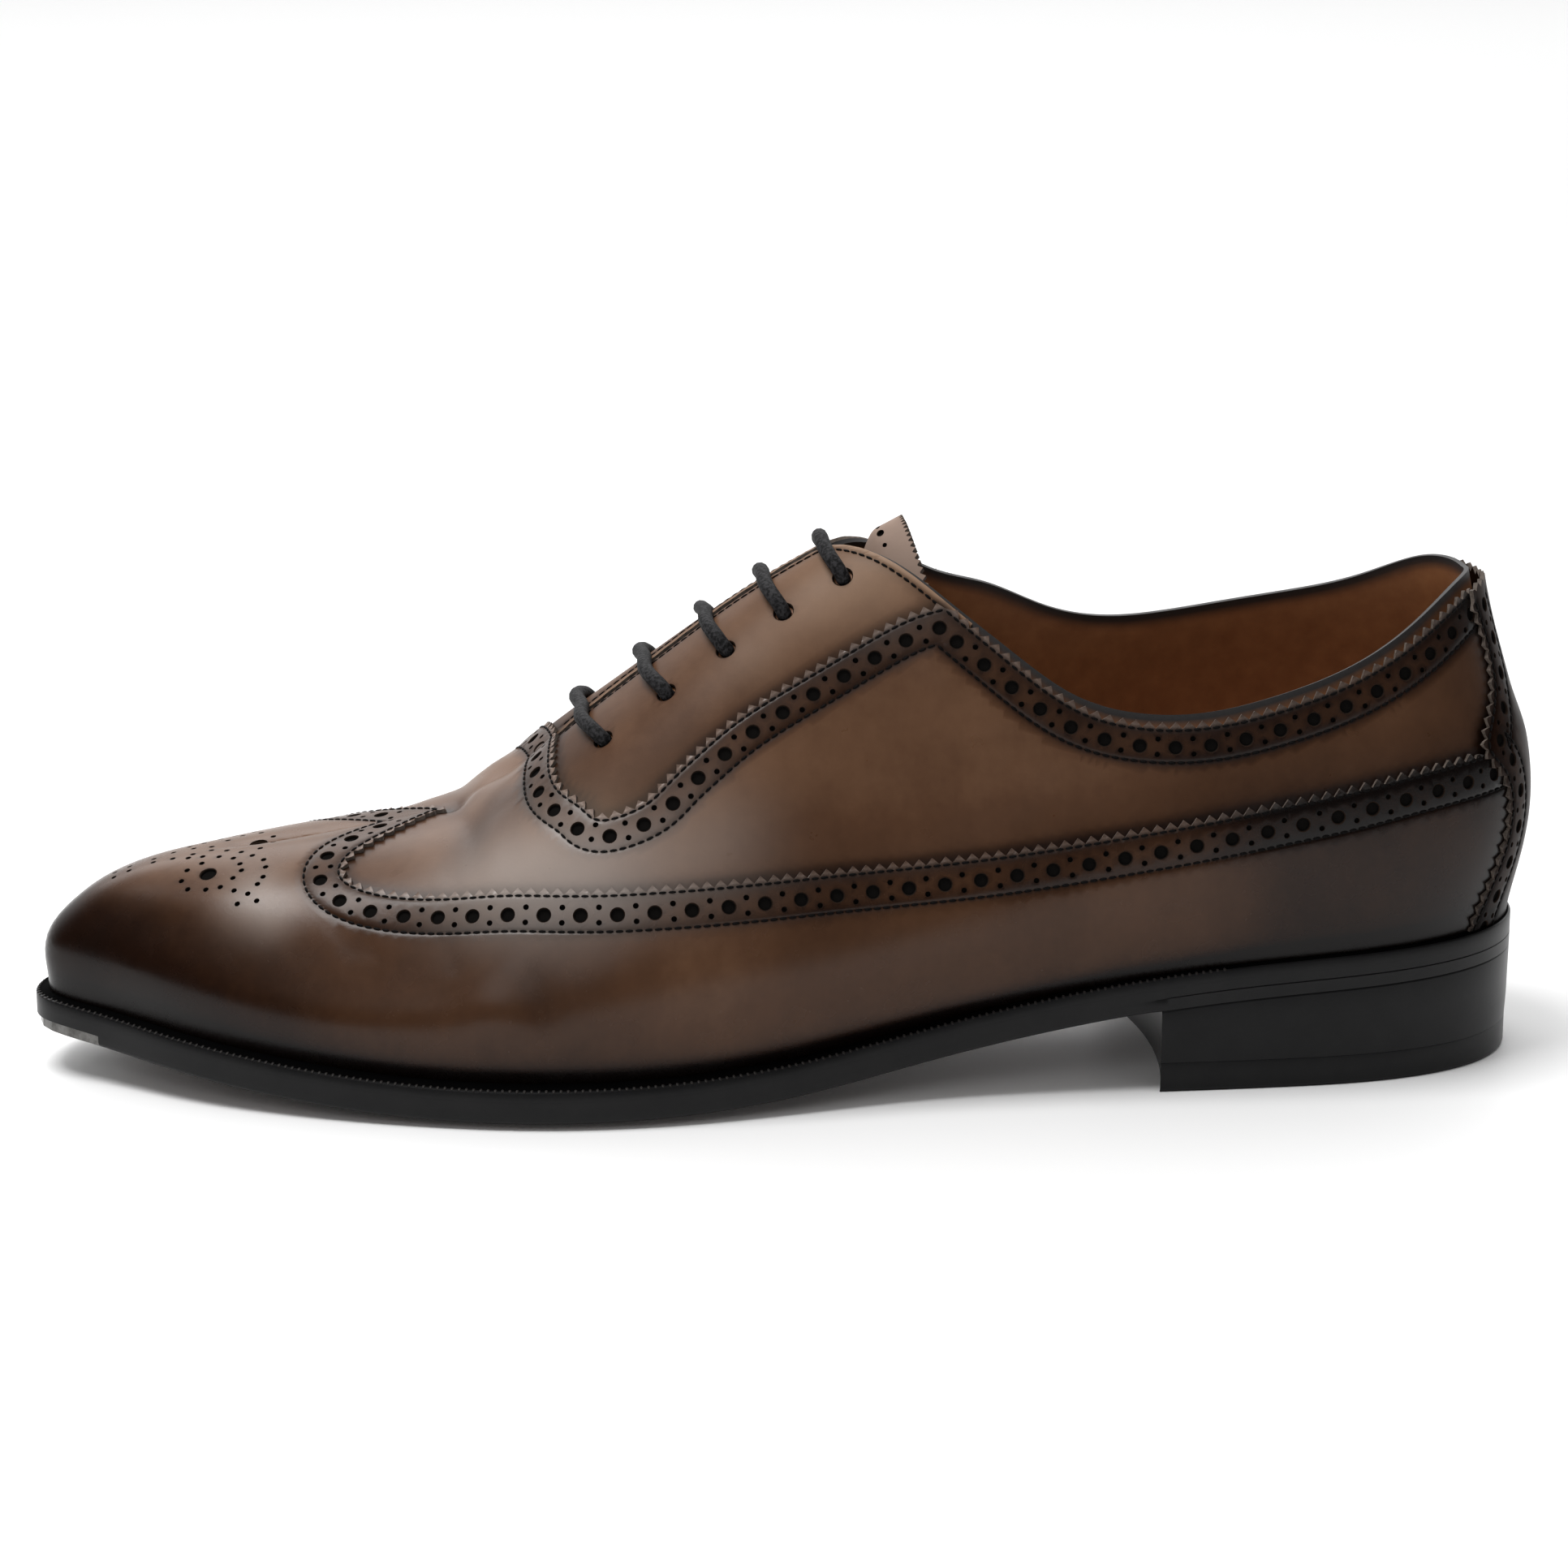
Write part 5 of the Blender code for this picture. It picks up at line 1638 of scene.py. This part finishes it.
def lining():
    side = np.linspace(0, 1, LINING_COLUMNS + 1)
    along = np.concatenate([side, 2 - side[-2:0:-1]])
    top = np.minimum(top_edge(along) + LINING_LIP, 1.0)
    rows = 1 - (1 - np.linspace(0, 1, LINING_ROWS + 1)) ** LINING_CROWDING
    up = top[:, None] * rows
    places = np.stack([np.broadcast_to(along[:, None], up.shape), up], -1).reshape(-1, 2)
    step = LINING_ROWS + 1
    triangles = []
    for i in range(len(along)):
        here, after = i * step, (i + 1) % len(along) * step
        for row in range(LINING_ROWS):
            a, b, c, d = here + row, after + row, after + row + 1, here + row + 1
            triangles += [(a, b, c), (a, c, d)]
    places, triangles = joined([(places, np.array(triangles))])
    sink = creased(last(*places.T))
    outer = skin(*places.T, LINING_OUTER - sink)
    inner = skin(*places.T, LINING_INNER - sink)
    rim = places[rim_edges(triangles)[:, 0]]
    top_rim = rim[rim[:, 1] > FEATHER_RIM]
    away = distances(last(*places.T), nearest(last(*top_rim.T)))
    paint = np.clip(PAINT_FULL - away / PAINTED_EDGE, 0, 1)
    faces, _ = shell(turned_out(triangles, outer, places), len(places))
    values = {"paint": np.tile(paint, 2)}
    return mesh_object("lining", np.vstack([outer, inner]), faces, [lining_finish()], values=values)


lining_wall = lining()
print("lining", len(lining_wall.data.polygons), "faces")

# %% [markdown]
# The tongue is an arched strip under the lace with a gimped top end.

# %% Tongue
TONGUE_TOP, TONGUE_TOP_DEPTH = 44.5, 3.4
TONGUE_SIDE_TOP, TONGUE_SIDE_DEPTH = 42.3, 5.6
TONGUE_FRONT, TONGUE_EDGE_UP, TONGUE_RISE_FROM = 70.0, 66.0, 48.6
TONGUE_RIDGE_RISE, TONGUE_SIDE_RISE = 2.6, 6.3
TONGUE_CROWDING = 1.5
TONGUE_THICKNESS, TONGUE_DEPTH = 1.5, 8.8
TONGUE_ROWS, TONGUE_COLUMNS = 60, 60
TONGUE_BURNISH = 0.1


def tongue_run(top, top_depth, rise):
    """Places along from the tongue's free end, where they crowd, to its front, and the depth there."""
    share = np.linspace(0, 1, TONGUE_ROWS + 1) ** TONGUE_CROWDING
    along = top + (TONGUE_FRONT - top) * share
    free = smooth((TONGUE_RISE_FROM - along) / rise)
    return along / 100, TONGUE_DEPTH + (top_depth - TONGUE_DEPTH) * free


def tongue_sheet(below):
    """Points of one face of the tongue, row by row from its gimped free end."""
    ridge, ridge_depth = tongue_run(TONGUE_TOP, TONGUE_TOP_DEPTH, TONGUE_RIDGE_RISE)
    side, side_depth = tongue_run(TONGUE_SIDE_TOP, TONGUE_SIDE_DEPTH, TONGUE_SIDE_RISE)
    side_up = np.full_like(side, TONGUE_EDGE_UP / 100)
    lateral = skin(side, side_up, -side_depth - below)[:, None]
    medial = skin(2 - side, side_up, -side_depth - below)[:, None]
    middle = skin(ridge, np.ones_like(ridge), -ridge_depth - below)[:, None]
    share = np.linspace(-1, 1, TONGUE_COLUMNS + 1)[None, :, None]
    sides = lateral * share * (share - 1) / 2 + medial * share * (share + 1) / 2
    sheet = sides + middle * (1 - share**2)
    teeth = np.resize((0.5, -0.5), TONGUE_COLUMNS + 1)[:, None]
    sheet[0] += GIMP_DEPTH * teeth * unit(sheet[0] - sheet[1])
    return sheet.reshape(-1, 3)


def closed_sheet(outer, inner, columns, rows):
    """Points and faces of two equal grids with their rim, and which faces are rim."""
    wide = columns + 1
    start = (np.arange(rows)[:, None] * wide + np.arange(columns)).reshape(-1, 1)
    quads = start + (0, 1, wide + 1, wide)
    triangles = np.vstack([quads[:, [0, 1, 2]], quads[:, [0, 2, 3]]])
    return np.vstack([outer, inner]), *shell(triangles, len(outer))


tongue_points, tongue_faces, tongue_index = closed_sheet(
    tongue_sheet(0.0), tongue_sheet(TONGUE_THICKNESS), TONGUE_COLUMNS, TONGUE_ROWS
)
tongue = mesh_object(
    "tongue_leather",
    tongue_points,
    tongue_faces,
    [tongue_calf, cut_edge],
    tongue_index,
    {"burnish_and_shade": np.full(len(tongue_points), TONGUE_BURNISH)},
)
face_out(tongue)

# %% [markdown]
# A short row of holes is punched across the tongue's free end, where it shows above the lace.

# %% Holes of the tongue
TONGUE_HOLE_ROW = 9
TongueHole = namedtuple("TongueHole", "across radius")
TONGUE_HOLES = (
    TongueHole(-0.47, 0.42),
    TongueHole(-0.23, 0.72),
    TongueHole(0.0, 0.42),
    TongueHole(0.23, 0.72),
    TongueHole(0.47, 0.42),
)


def punch_tongue():
    sheet = tongue_sheet(0.0).reshape(TONGUE_ROWS + 1, TONGUE_COLUMNS + 1, 3)
    columns = np.array([round((hole.across + 1) / 2 * TONGUE_COLUMNS) for hole in TONGUE_HOLES])
    points = sheet[TONGUE_HOLE_ROW, columns]
    runs = unit(sheet[TONGUE_HOLE_ROW + 1, columns] - points)
    outs = unit(np.cross(runs, sheet[TONGUE_HOLE_ROW, columns + 1] - points))
    outs = outs * np.sign(outs[:, 2:])
    punch_out(tongue, blind_punch, points, outs, runs, np.array([hole.radius for hole in TONGUE_HOLES]))


punch_tongue()

# %% [markdown]
# The lace is one waxed round cord, black with a dull sheen. It crosses the facings in five straight
# bars and runs on underneath from eyelet to eyelet; its ends stay inside at the top eyelets.

# %% Lace
LACE_OVER = WALL_OUTER + GAP + LACE_DIAMETER / 2
LACE_UNDER = WALL_INNER - GAP - LACE_DIAMETER / 2
LACE_FORWARD = 1.55
LACE_FORWARD_STEP = 0.19
LACE_POINTS = 420
LACE_ROUNDS = 4
LACE_BLACK = ((0.4, (0.003, 0.0029, 0.0032)), (0.62, (0.028, 0.027, 0.029)))
Dip = namedtuple("Dip", "share lift")
LACE_DIPS = (
    Dip(1.0, LACE_UNDER + 0.1),
    Dip(1.0, -2.2),
    Dip(0.98, -0.4),
    Dip(0.84, LACE_OVER + 0.25),
    Dip(0.5, LACE_OVER + 0.2),
    Dip(0.0, LACE_OVER + 0.1),
)


def lace_bar(along, up, forward):
    """Points of one bar, from inside the lateral eyelet over the facings to inside the medial one."""
    half = []
    for dip in LACE_DIPS:
        place = along + forward / 100 * (1 - dip.share**2)
        half.append((place, 1 - (1 - up) * dip.share, dip.lift))
    other = [(2 - place, height, lift) for place, height, lift in reversed(half[:-1])]
    route = np.array(half + other)
    return skin(*route.T)


def lace(finish):
    route = []
    for i, (along, up) in enumerate(eyelets[::-1]):
        forward = LACE_FORWARD + LACE_FORWARD_STEP * (EYELETS - 1 - i)
        bar = lace_bar(along, up, forward)
        route.append(bar if i % 2 else bar[::-1])
    points = np.vstack(route)
    steps = np.linalg.norm(np.diff(points, axis=0), axis=1)
    knots = np.concatenate([[0.0], np.cumsum(np.sqrt(steps))])
    path = spline(knots, points)(np.linspace(0, knots[-1], LACE_POINTS))
    cord = bpy.data.curves.new("lace_cord", "CURVE")
    cord.dimensions = "3D"
    cord.bevel_depth = LACE_DIAMETER / 2 * MM
    cord.bevel_resolution = LACE_ROUNDS
    cord.use_fill_caps = True
    run = cord.splines.new("POLY")
    run.points.add(LACE_POINTS - 1)
    for point, place in zip(run.points, path * MM):
        point.co = (*place, 1.0)
    guide = linked("lace_guide", cord)
    mesh = plain_mesh(guide)
    drop(guide)
    mesh.materials.clear()
    mesh.materials.append(finish)
    mesh.shade_smooth()
    return linked("lace_cord", mesh)


def waxed_finish():
    made, tree, shader = finish_of("waxed_cord", Roughness=0.68, Specular_IOR_Level=0.14)
    weave = noise(tree, 1500.0, 2.0)
    coloured(tree, shader, weave, LACE_BLACK)
    bumped(tree, shader, weave, 0.7, 0.2)
    return made


lace_cord = lace(waxed_finish())

# %% [markdown]
# ## Welt, sole and heel
#
# Under the upper run a narrow welt and a leather sole with a smooth, blackened edge. Both are profiles
# swept round the feather line, finely enough that the toe is round. The welt's top edge is wheeled:
# a row of small pressed marks catches the light.

# %% Swept edges
ROUND_STEPS = 260
round_side = np.linspace(0, 1, ROUND_STEPS + 1)
round_along = np.concatenate([round_side, 2 - round_side[-2:0:-1]])
welt_reach = profile(WELT_REACH, 1.0)


def sole_ring(along, beyond, drop):
    """Points round the sole: beyond the feather line in plan, and below its height."""
    back, across = np.moveaxis(section_at(along % 2), -1, 0)[:2]
    ahead, behind = section_at((along + ALONG_STEP) % 2), section_at((along - ALONG_STEP) % 2)
    run = unit((ahead - behind)[..., :2])
    x = HEEL_X - (back + run[..., 1] * beyond)
    y = AXIS_Y + across - run[..., 0] * beyond
    return np.stack([x, y, seat_height(back) - drop], -1)


def feather_back(along):
    return section_at(along % 2)[..., 0]


round_reach = welt_reach(feather_back(round_along))


def ring_faces(levels, count, closed):
    """Quads between rings; the last ring joins the first where closed."""
    i = np.arange(count)
    j = (i + 1) % count
    faces = []
    for level in range(levels if closed else levels - 1):
        low, high = level * count, (level + 1) % levels * count
        faces.append(np.stack([low + i, low + j, high + j, high + i], 1))
    return np.vstack(faces)


def edge_finish(name, low, high, roughness, shine):
    """Blackened sole leather: smooth, waxed and faintly uneven."""
    made, tree, shader = finish_of(name, Roughness=roughness, Specular_IOR_Level=shine)
    coloured(tree, shader, noise(tree, 130.0, 4.0), ((0.3, low), (0.7, high)))
    bumped(tree, shader, noise(tree, 700.0, 3.0), 0.15, 0.08)
    return made


# The welt's top: black ink, made darker than the edge as painted shade of the crevice under the upper
welt_top_ink_and_shade = edge_finish("welt_top_ink_and_shade", (0.0005, 0.0005, 0.0006), (0.001, 0.001, 0.0011), 0.8, 0.02)
edge_black = edge_finish("edge_black", (0.003, 0.003, 0.0034), (0.006, 0.0058, 0.006), 0.38, 0.22)
heel_black = edge_finish("heel_black", (0.003, 0.003, 0.0034), (0.0055, 0.0055, 0.0058), 0.34, 0.19)
sole_brown = edge_finish("sole_brown", (0.03, 0.014, 0.009), (0.06, 0.03, 0.02), 0.6, 0.2)

# %% [markdown]
# The welt is a closed strip with a rounded outer edge. Its top is duller than its edge and darker, as
# painted shade of the crevice under the upper.

# %% Welt
# Welt profile: share of the way from the inner edge to the outer one, and drop below the feather
Corner = namedtuple("Corner", "share drop")
WELT_PROFILE = (
    Corner(0.0, 2.5),
    Corner(0.0, 0.0),
    Corner(0.45, -0.05),
    Corner(0.8, 0.2),
    Corner(0.93, 0.3),
    Corner(0.98, 0.42),
    Corner(1.0, 0.7),
    Corner(1.0, 2.5),
)
WELT_TOP_RINGS = 4


def welt():
    wide = round_reach - WELT_INNER
    rings = [sole_ring(round_along, WELT_INNER + wide * c.share, c.drop) for c in WELT_PROFILE]
    faces = ring_faces(len(rings), len(round_along), True)
    index = np.ones(len(faces), int)
    index[: WELT_TOP_RINGS * len(round_along)] = 0
    return mesh_object("welt_strip", np.vstack(rings), faces, [welt_top_ink_and_shade, edge_black], index)


welt_strip = welt()

# %% [markdown]
# The sole's wall is straight with a small bevel below. At the heel a fine groove marks where the sole
# ends and the stack begins. The underside bulges a little under the forefoot.

# %% Outsole
# Sole profile from the top edge down: inset from the sole's outline, drop below the feather line,
# and depth of the groove at the heel
SOLE_BOTTOM = 2 * GAP + WELT_THICKNESS + OUTSOLE_EDGE
HEEL_PART_FROM, HEEL_PART_FADE = HEEL_BREAST - 4, 10
HALF_CROWN = 0.75
EDGE_BEVEL = 0.7
CROWN_FROM, CROWN_FULL = 95.0, 150.0
Wall = namedtuple("Wall", "inset drop groove")
SOLE_WALL = (
    Wall(0.0, 2.45, 0.0),
    Wall(0.0, 4.35, 0.0),
    Wall(0.0, 4.5, 0.16),
    Wall(0.0, 4.65, 0.0),
    Wall(0.0, 6.1, 0.0),
    Wall(0.08, 6.5, 0.0),
    Wall(0.3, 6.8, 0.0),
    Wall(0.7, 7.0, 0.0),
)


def crowned(ring, along, share):
    """A sole ring lowered by the crown under the forefoot, and never below the floor."""
    front = smooth((feather_back(along) - CROWN_FROM) / (CROWN_FULL - CROWN_FROM))
    ring = ring.copy()
    ring[:, 2] = np.maximum(ring[:, 2] - share * OUTSOLE_CROWN * front, 0.0)
    return ring


def across_faces(count, start):
    """Triangles across a closed ring of places from side to side."""
    half = count // 2
    faces = [(start, start + 1, start + count - 1)]
    for i in range(1, half - 1):
        a, b, c, d = start + i, start + i + 1, start + count - i - 1, start + count - i
        faces += [(a, b, c), (a, c, d)]
    faces.append((start + half - 1, start + half, start + half + 1))
    return faces


def outsole():
    heel_part = 1 - smooth((feather_back(round_along) - HEEL_PART_FROM) / HEEL_PART_FADE)
    rings = []
    for wall in SOLE_WALL:
        inset = wall.inset * (1 - heel_part) + wall.groove * heel_part
        ring = sole_ring(round_along, round_reach - inset, wall.drop)
        rings.append(crowned(ring, round_along, 0.0))
    for inset, share in ((CROWN_INSET / 2, HALF_CROWN), (CROWN_INSET, 1.0)):
        ring = sole_ring(round_along, round_reach - inset, SOLE_BOTTOM)
        rings.append(crowned(ring, round_along, share))
    count = len(round_along)
    walls = ring_faces(len(rings), count, False)
    caps = across_faces(count, 0) + [face[::-1] for face in across_faces(count, (len(rings) - 1) * count)]
    faces = [tuple(face[::-1]) for face in walls] + caps
    index = np.zeros(len(faces), int)
    under = (len(SOLE_WALL) - 1) * count
    index[under : len(walls)] = 1
    index[len(walls) + len(caps) // 2 :] = 1
    return mesh_object("outsole_leather", np.vstack(rings), faces, [edge_black, sole_brown], index)


sole = outsole()
print("sole", len(sole.data.polygons), "faces")

# %% [markdown]
# A steel plate guards the toe. It is a CAD solid with a simple form, so it stays as it is and the sole
# is cut away round it.

# %% Pocket for the toe plate
PLATE_STEPS = 40
PLATE_OVERRUN = 3.0
PLATE_ROOM, SPAN_ROOM = 0.12, 0.001


def plate_pocket():
    """Four-cornered sections of the room that the plate takes, open to the front and below."""
    span = PLATE_SPAN + SPAN_ROOM
    along = np.linspace(1 - span, 1 + span, PLATE_STEPS + 1)
    reach = welt_reach(feather_back(along)) - EDGE_BEVEL
    front = crowned(sole_ring(along, reach, SOLE_BOTTOM), along, 0.0)
    back = front.copy()
    back[:, 0] = front[:, 0].max() + PLATE_LAP + PLATE_ROOM
    share = np.clip((back - front)[:, 0] / CROWN_INSET, 0, 1)
    back[:, 2] = seat_height(HEEL_X - back[:, 0]) - SOLE_BOTTOM - OUTSOLE_CROWN * share
    front = front + PLATE_OVERRUN * unit(front - back)
    low, high = np.array([0, 0, PLATE_OVERRUN]), np.array([0, 0, PLATE_THICKNESS + PLATE_ROOM])
    return np.stack([front - low, back - low, back + high, front + high], 1)


def bar_faces(count):
    faces = [(0, 1, 2, 3), tuple(4 * (count - 1) + i for i in (3, 2, 1, 0))]
    for i in range(count - 1):
        for corner in range(4):
            after = (corner + 1) % 4
            faces.append((4 * i + corner, 4 * i + 4 + corner, 4 * i + 4 + after, 4 * i + after))
    return faces


def cut_pocket(made):
    corners = plate_pocket()
    faces = bar_faces(len(corners))
    pocket = face_out(mesh_object("pocket", corners.reshape(-1, 3), faces, [edge_black]))
    cut = made.modifiers.new("pocket", "BOOLEAN")
    cut.solver = "MANIFOLD"
    cut.object = pocket
    mesh = plain_mesh(made)
    made.modifiers.remove(cut)
    made.data = smoothed(mesh)
    drop(pocket)


for made in (lining_wall, welt_strip, sole, wing, quarter, strap, *facings):
    face_out(made)
cut_pocket(sole)
print("sole cut,", len(sole.data.polygons), "faces")

# %% [markdown]
# The heel is a stack of leather lifts, trimmed and inked as one block, with a rubber top piece. Only
# hairlines show where the layers meet, so they are shallow grooves in the wall.

# %% Heel
HEEL_SIDE, BREAST_STEPS, HEEL_TAPER = 90, 24, 0.4
HEEL_CROWDING = 1.5
BREAST_SAMPLES = 401
HAIRLINE = 0.02


def heel_ring(height, taper):
    """Heel outline at a level; height None is the underside of the sole."""
    places = np.linspace(0, 1, BREAST_SAMPLES)
    breast = np.interp(HEEL_BREAST, feather_back(places), places)
    side = breast * np.linspace(0, 1, HEEL_SIDE) ** HEEL_CROWDING
    along = np.concatenate([side, 2 - side[:0:-1]])
    reach = welt_reach(feather_back(along)) - taper
    ring = sole_ring(along, reach, SOLE_BOTTOM + HAIRLINE)
    share = np.linspace(0, 1, BREAST_STEPS + 2)[1:-1, None]
    hollow = ring[HEEL_SIDE - 1] * (1 - share) + ring[HEEL_SIDE] * share
    hollow[:, 0] += (BREAST_HOLLOW * 4 * share * (1 - share))[:, 0]
    hollow[:, 2] = seat_height(HEEL_X - hollow[:, 0]) - SOLE_BOTTOM - HAIRLINE
    ring = np.vstack([ring[:HEEL_SIDE], hollow, ring[HEEL_SIDE:]])
    if height is not None:
        ring[:, 2] = height
    return ring


# Levels of the heel block, as shares of its height with the depth of the groove there
Level = namedtuple("Level", "share inset")
STACK = (
    Level(0.0, 0.03),
    Level(0.01, 0.0),
    Level(0.3, -0.1),
    Level(0.6, -0.05),
    Level(0.97, 0.0),
    Level(0.985, 0.06),
    Level(1.0, 0.2),
)


def heel_block(name, low, high, levels, finish):
    """A block between two heights through levels with their insets; high None meets the sole."""
    rings = []
    for level in levels:
        taper = 0.0 if high is None else HEEL_TAPER
        bottom, top = heel_ring(low, HEEL_TAPER + level.inset), heel_ring(high, taper + level.inset)
        rings.append(bottom * (1 - level.share) + top * level.share)
    count = len(rings[0])
    faces = [tuple(face) for face in ring_faces(len(rings), count, False)]
    middles = np.stack([rings[0].mean(0), rings[-1].mean(0)])
    top = (len(rings) - 1) * count
    centre = len(rings) * count
    for i in range(count):
        j = (i + 1) % count
        faces += [(centre, j, i), (centre + 1, top + i, top + j)]
    return face_out(mesh_object(name, np.vstack([*rings, middles]), faces, [finish]))


TOP_LEVELS = (Level(0.0, 0.5), Level(0.06, 0.14), Level(0.14, 0.0), Level(0.985, 0.0), Level(1.0, 0.03))
heel_stack = heel_block("heel_stack_leather", TOP_PIECE + HAIRLINE, None, STACK, heel_black)
top_piece = heel_block("heel_top_rubber", 0.0, TOP_PIECE, TOP_LEVELS, heel_black)

# %% [markdown]
# The wheel marks on the welt: small dull beads pressed across its outer edge, from the heel breast
# round the toe and back.

# %% Wheel marks
MARK_PITCH = 1.4
MARK_SIZE = (0.34, 0.5, 0.13)
MARK_FROM, MARK_TO, MARK_SAMPLES = 0.24, 1.76, 4000
MARK_INSET, MARK_DROP, MARK_LEAN = 0.42, 0.3, 0.5
mark_look = {"Base_Color": (0.016, 0.014, 0.013, 1), "Roughness": 0.5, "Specular_IOR_Level": 0.15}
mark_finish = finish_of("wheel_marks", **mark_look)[0]


def mark_line(along, inset):
    """Points on the welt at a distance inside its edge."""
    return sole_ring(along, welt_reach(feather_back(along)) - inset, MARK_DROP)


walk = np.linspace(MARK_FROM, MARK_TO, MARK_SAMPLES)
walk_run = lengths(mark_line(walk, MARK_INSET))
marks = np.interp(np.arange(0, walk_run[-1], MARK_PITCH), walk_run, walk)
mark_points = mark_line(marks, MARK_INSET)
mark_run = unit(np.gradient(mark_points, axis=0))
mark_out = unit(mark_line(marks, 0) - mark_line(marks, 2))
mark_out = unit(np.array((0.0, 0.0, 1.0)) + MARK_LEAN * mark_out)
wheel_marks = bead_object("wheel_marks", [(mark_points, mark_out, mark_run)], MARK_SIZE, mark_finish)

# %% [markdown]
# ## Joining the frame
#
# Every piece rides on the shoe's one body; the CAD node that a piece stands for, where there is one,
# is hidden. The insole and the toe plate keep their CAD form with better finishes.

# %% Frame
insole_finish = raw_edge("insole_calf", (0.16, 0.075, 0.033), (0.24, 0.12, 0.058), 260.0)
STEEL = ((0.35, (0.08, 0.078, 0.074)), (0.65, (0.17, 0.166, 0.16)))
plate_finish, plate_tree, plate_shader = finish_of("worn_steel", Metallic=1.0)
plate_wear = noise(plate_tree, 500.0, 5.0)
coloured(plate_tree, plate_shader, plate_wear, STEEL)
plate_rough = maths(plate_tree, "ADD", maths(plate_tree, "MULTIPLY", plate_wear, 0.4), 0.15)
plate_tree.links.new(plate_rough, plate_shader.inputs["Roughness"])
for node_name, finish in (("insole", insole_finish), ("toe_plate", plate_finish)):
    shown = frame["nodes"][node_name]
    shown.data.materials.clear()
    shown.data.materials.append(finish)

drop(blind_punch)
drop(through_punch)
PIECES = (
    (facings[0], "upper", "facing_leather"),
    (facings[1], "upper", "facing_leather"),
    (lining_wall, "upper", None),
    (quarter, "vamp_quarter", "vamp_leather"),
    (wing, "longwing", "wing_leather"),
    (strap, "heel_strap", "strap_leather"),
    (stitches, None, None),
    (tongue, "tongue", "tongue_leather"),
    (lace_cord, "lace", "lace_cotton"),
    (welt_strip, "welt", "welt_leather"),
    (sole, "outsole", "sole_leather"),
    (heel_stack, "heel_stack", "heel_leather"),
    (top_piece, "heel_top_piece", "top_piece_rubber"),
    (wheel_marks, None, None),
)
for made, node_name, slot_name in PIECES:
    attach(made, "root")
    if node_name:
        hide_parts(node_name)
print("pieces:", len(PIECES), "triangles:", sum(len(p[0].data.polygons) for p in PIECES))

# %% [markdown]
# ## Studio
#
# A white floor, a large soft box above and behind, and a room that is dark towards the camera, so that
# the toe stays deep while the top of the leather carries a soft sheen.

# %% Floor and light
FLOOR_HALF = 8.0
floor_mesh = bpy.data.meshes.new("floor")
floor_corners = [(x * FLOOR_HALF, y * FLOOR_HALF, 0) for x, y in ((-1, -1), (1, -1), (1, 1), (-1, 1))]
floor_mesh.from_pydata(floor_corners, [], [(0, 1, 2, 3)])
floor_white = {"Base_Color": (0.95, 0.95, 0.95, 1), "Roughness": 0.5, "Specular_IOR_Level": 0.2}
floor_white |= {"Emission_Color": (1, 1, 1, 1), "Emission_Strength": 0.02}
floor_mesh.materials.append(finish_of("floor_white", **floor_white)[0])
floor = linked("floor", floor_mesh)


def aimed(made, place, aim):
    """Stands a light or a camera at a place, turned to what it looks at."""
    made.location = place
    made.rotation_euler = (Vector(aim) - Vector(place)).to_track_quat("-Z", "Y").to_euler()


def soft_box(name, place, aim, size, power):
    light = bpy.data.lights.new(name, "AREA")
    light.shape = "RECTANGLE"
    light.size, light.size_y = size
    light.energy = power
    aimed(linked(name, light), place, aim)


soft_box("key_box", (-0.42, -0.12, 1.35), (0.0, 0.0, 0.05), (0.65, 0.65), 15.5)
soft_box("front_fill", (-0.5, -1.1, 0.8), (0.0, 0.0, 0.05), (0.7, 0.5), 1.7)
soft_box("back_box", (0.0, 2.6, 2.0), (0.0, 2.2, 0.0), (4.0, 2.0), 28.0)

world = bpy.data.worlds.new("studio")
world.use_nodes = True
bpy.context.scene.world = world
sky = world.node_tree
direction = add(sky, "ShaderNodeSeparateXYZ", {0: add(sky, "ShaderNodeTexCoord").outputs["Generated"]})


def eased(source, start, end, low, high):
    """A smooth step of a sky value from low to high."""
    inputs = {"Value": source, "From Min": start, "From Max": end, "To Min": low, "To Max": high}
    return add(sky, "ShaderNodeMapRange", inputs, interpolation_type="SMOOTHSTEP").outputs[0]


wide, deep, high = (direction.outputs[axis] for axis in "XYZ")
behind = maths(sky, "MULTIPLY", eased(deep, 0.0, 0.8, 0.0, 0.8), eased(high, 0.2, 0.7, 1.0, 1.9))
before = maths(sky, "MULTIPLY", eased(high, 0.3, 0.9, 0.06, 0.5), eased(wide, -0.6, -0.25, 0.1, 1.0))
sky.links.new(maths(sky, "ADD", behind, before), sky.nodes["Background"].inputs["Strength"])
sky.nodes["Background"].inputs["Color"].default_value = (1, 1, 1, 1)

# %% [markdown]
# The camera keeps the photo's angle: a long lens, slightly above the shoe and in front of its middle.

# %% Camera
# The camera as it was found from the photo: lens and sensor in millimetres, places in metres
LENS, SENSOR = 95.03, 36.0
CAMERA_PLACE, CAMERA_AIM = (-0.0843, -0.8013, 0.2628), (0.00165, 0.0171, 0.05)
bpy.context.scene.view_settings.view_transform = "Standard"
camera = bpy.data.cameras.new("camera")
camera.lens = LENS
camera.sensor_width = SENSOR
camera.clip_start, camera.clip_end = 0.05, 20.0
eye = linked("camera", camera)
aimed(eye, CAMERA_PLACE, CAMERA_AIM)
bpy.context.scene.camera = eye
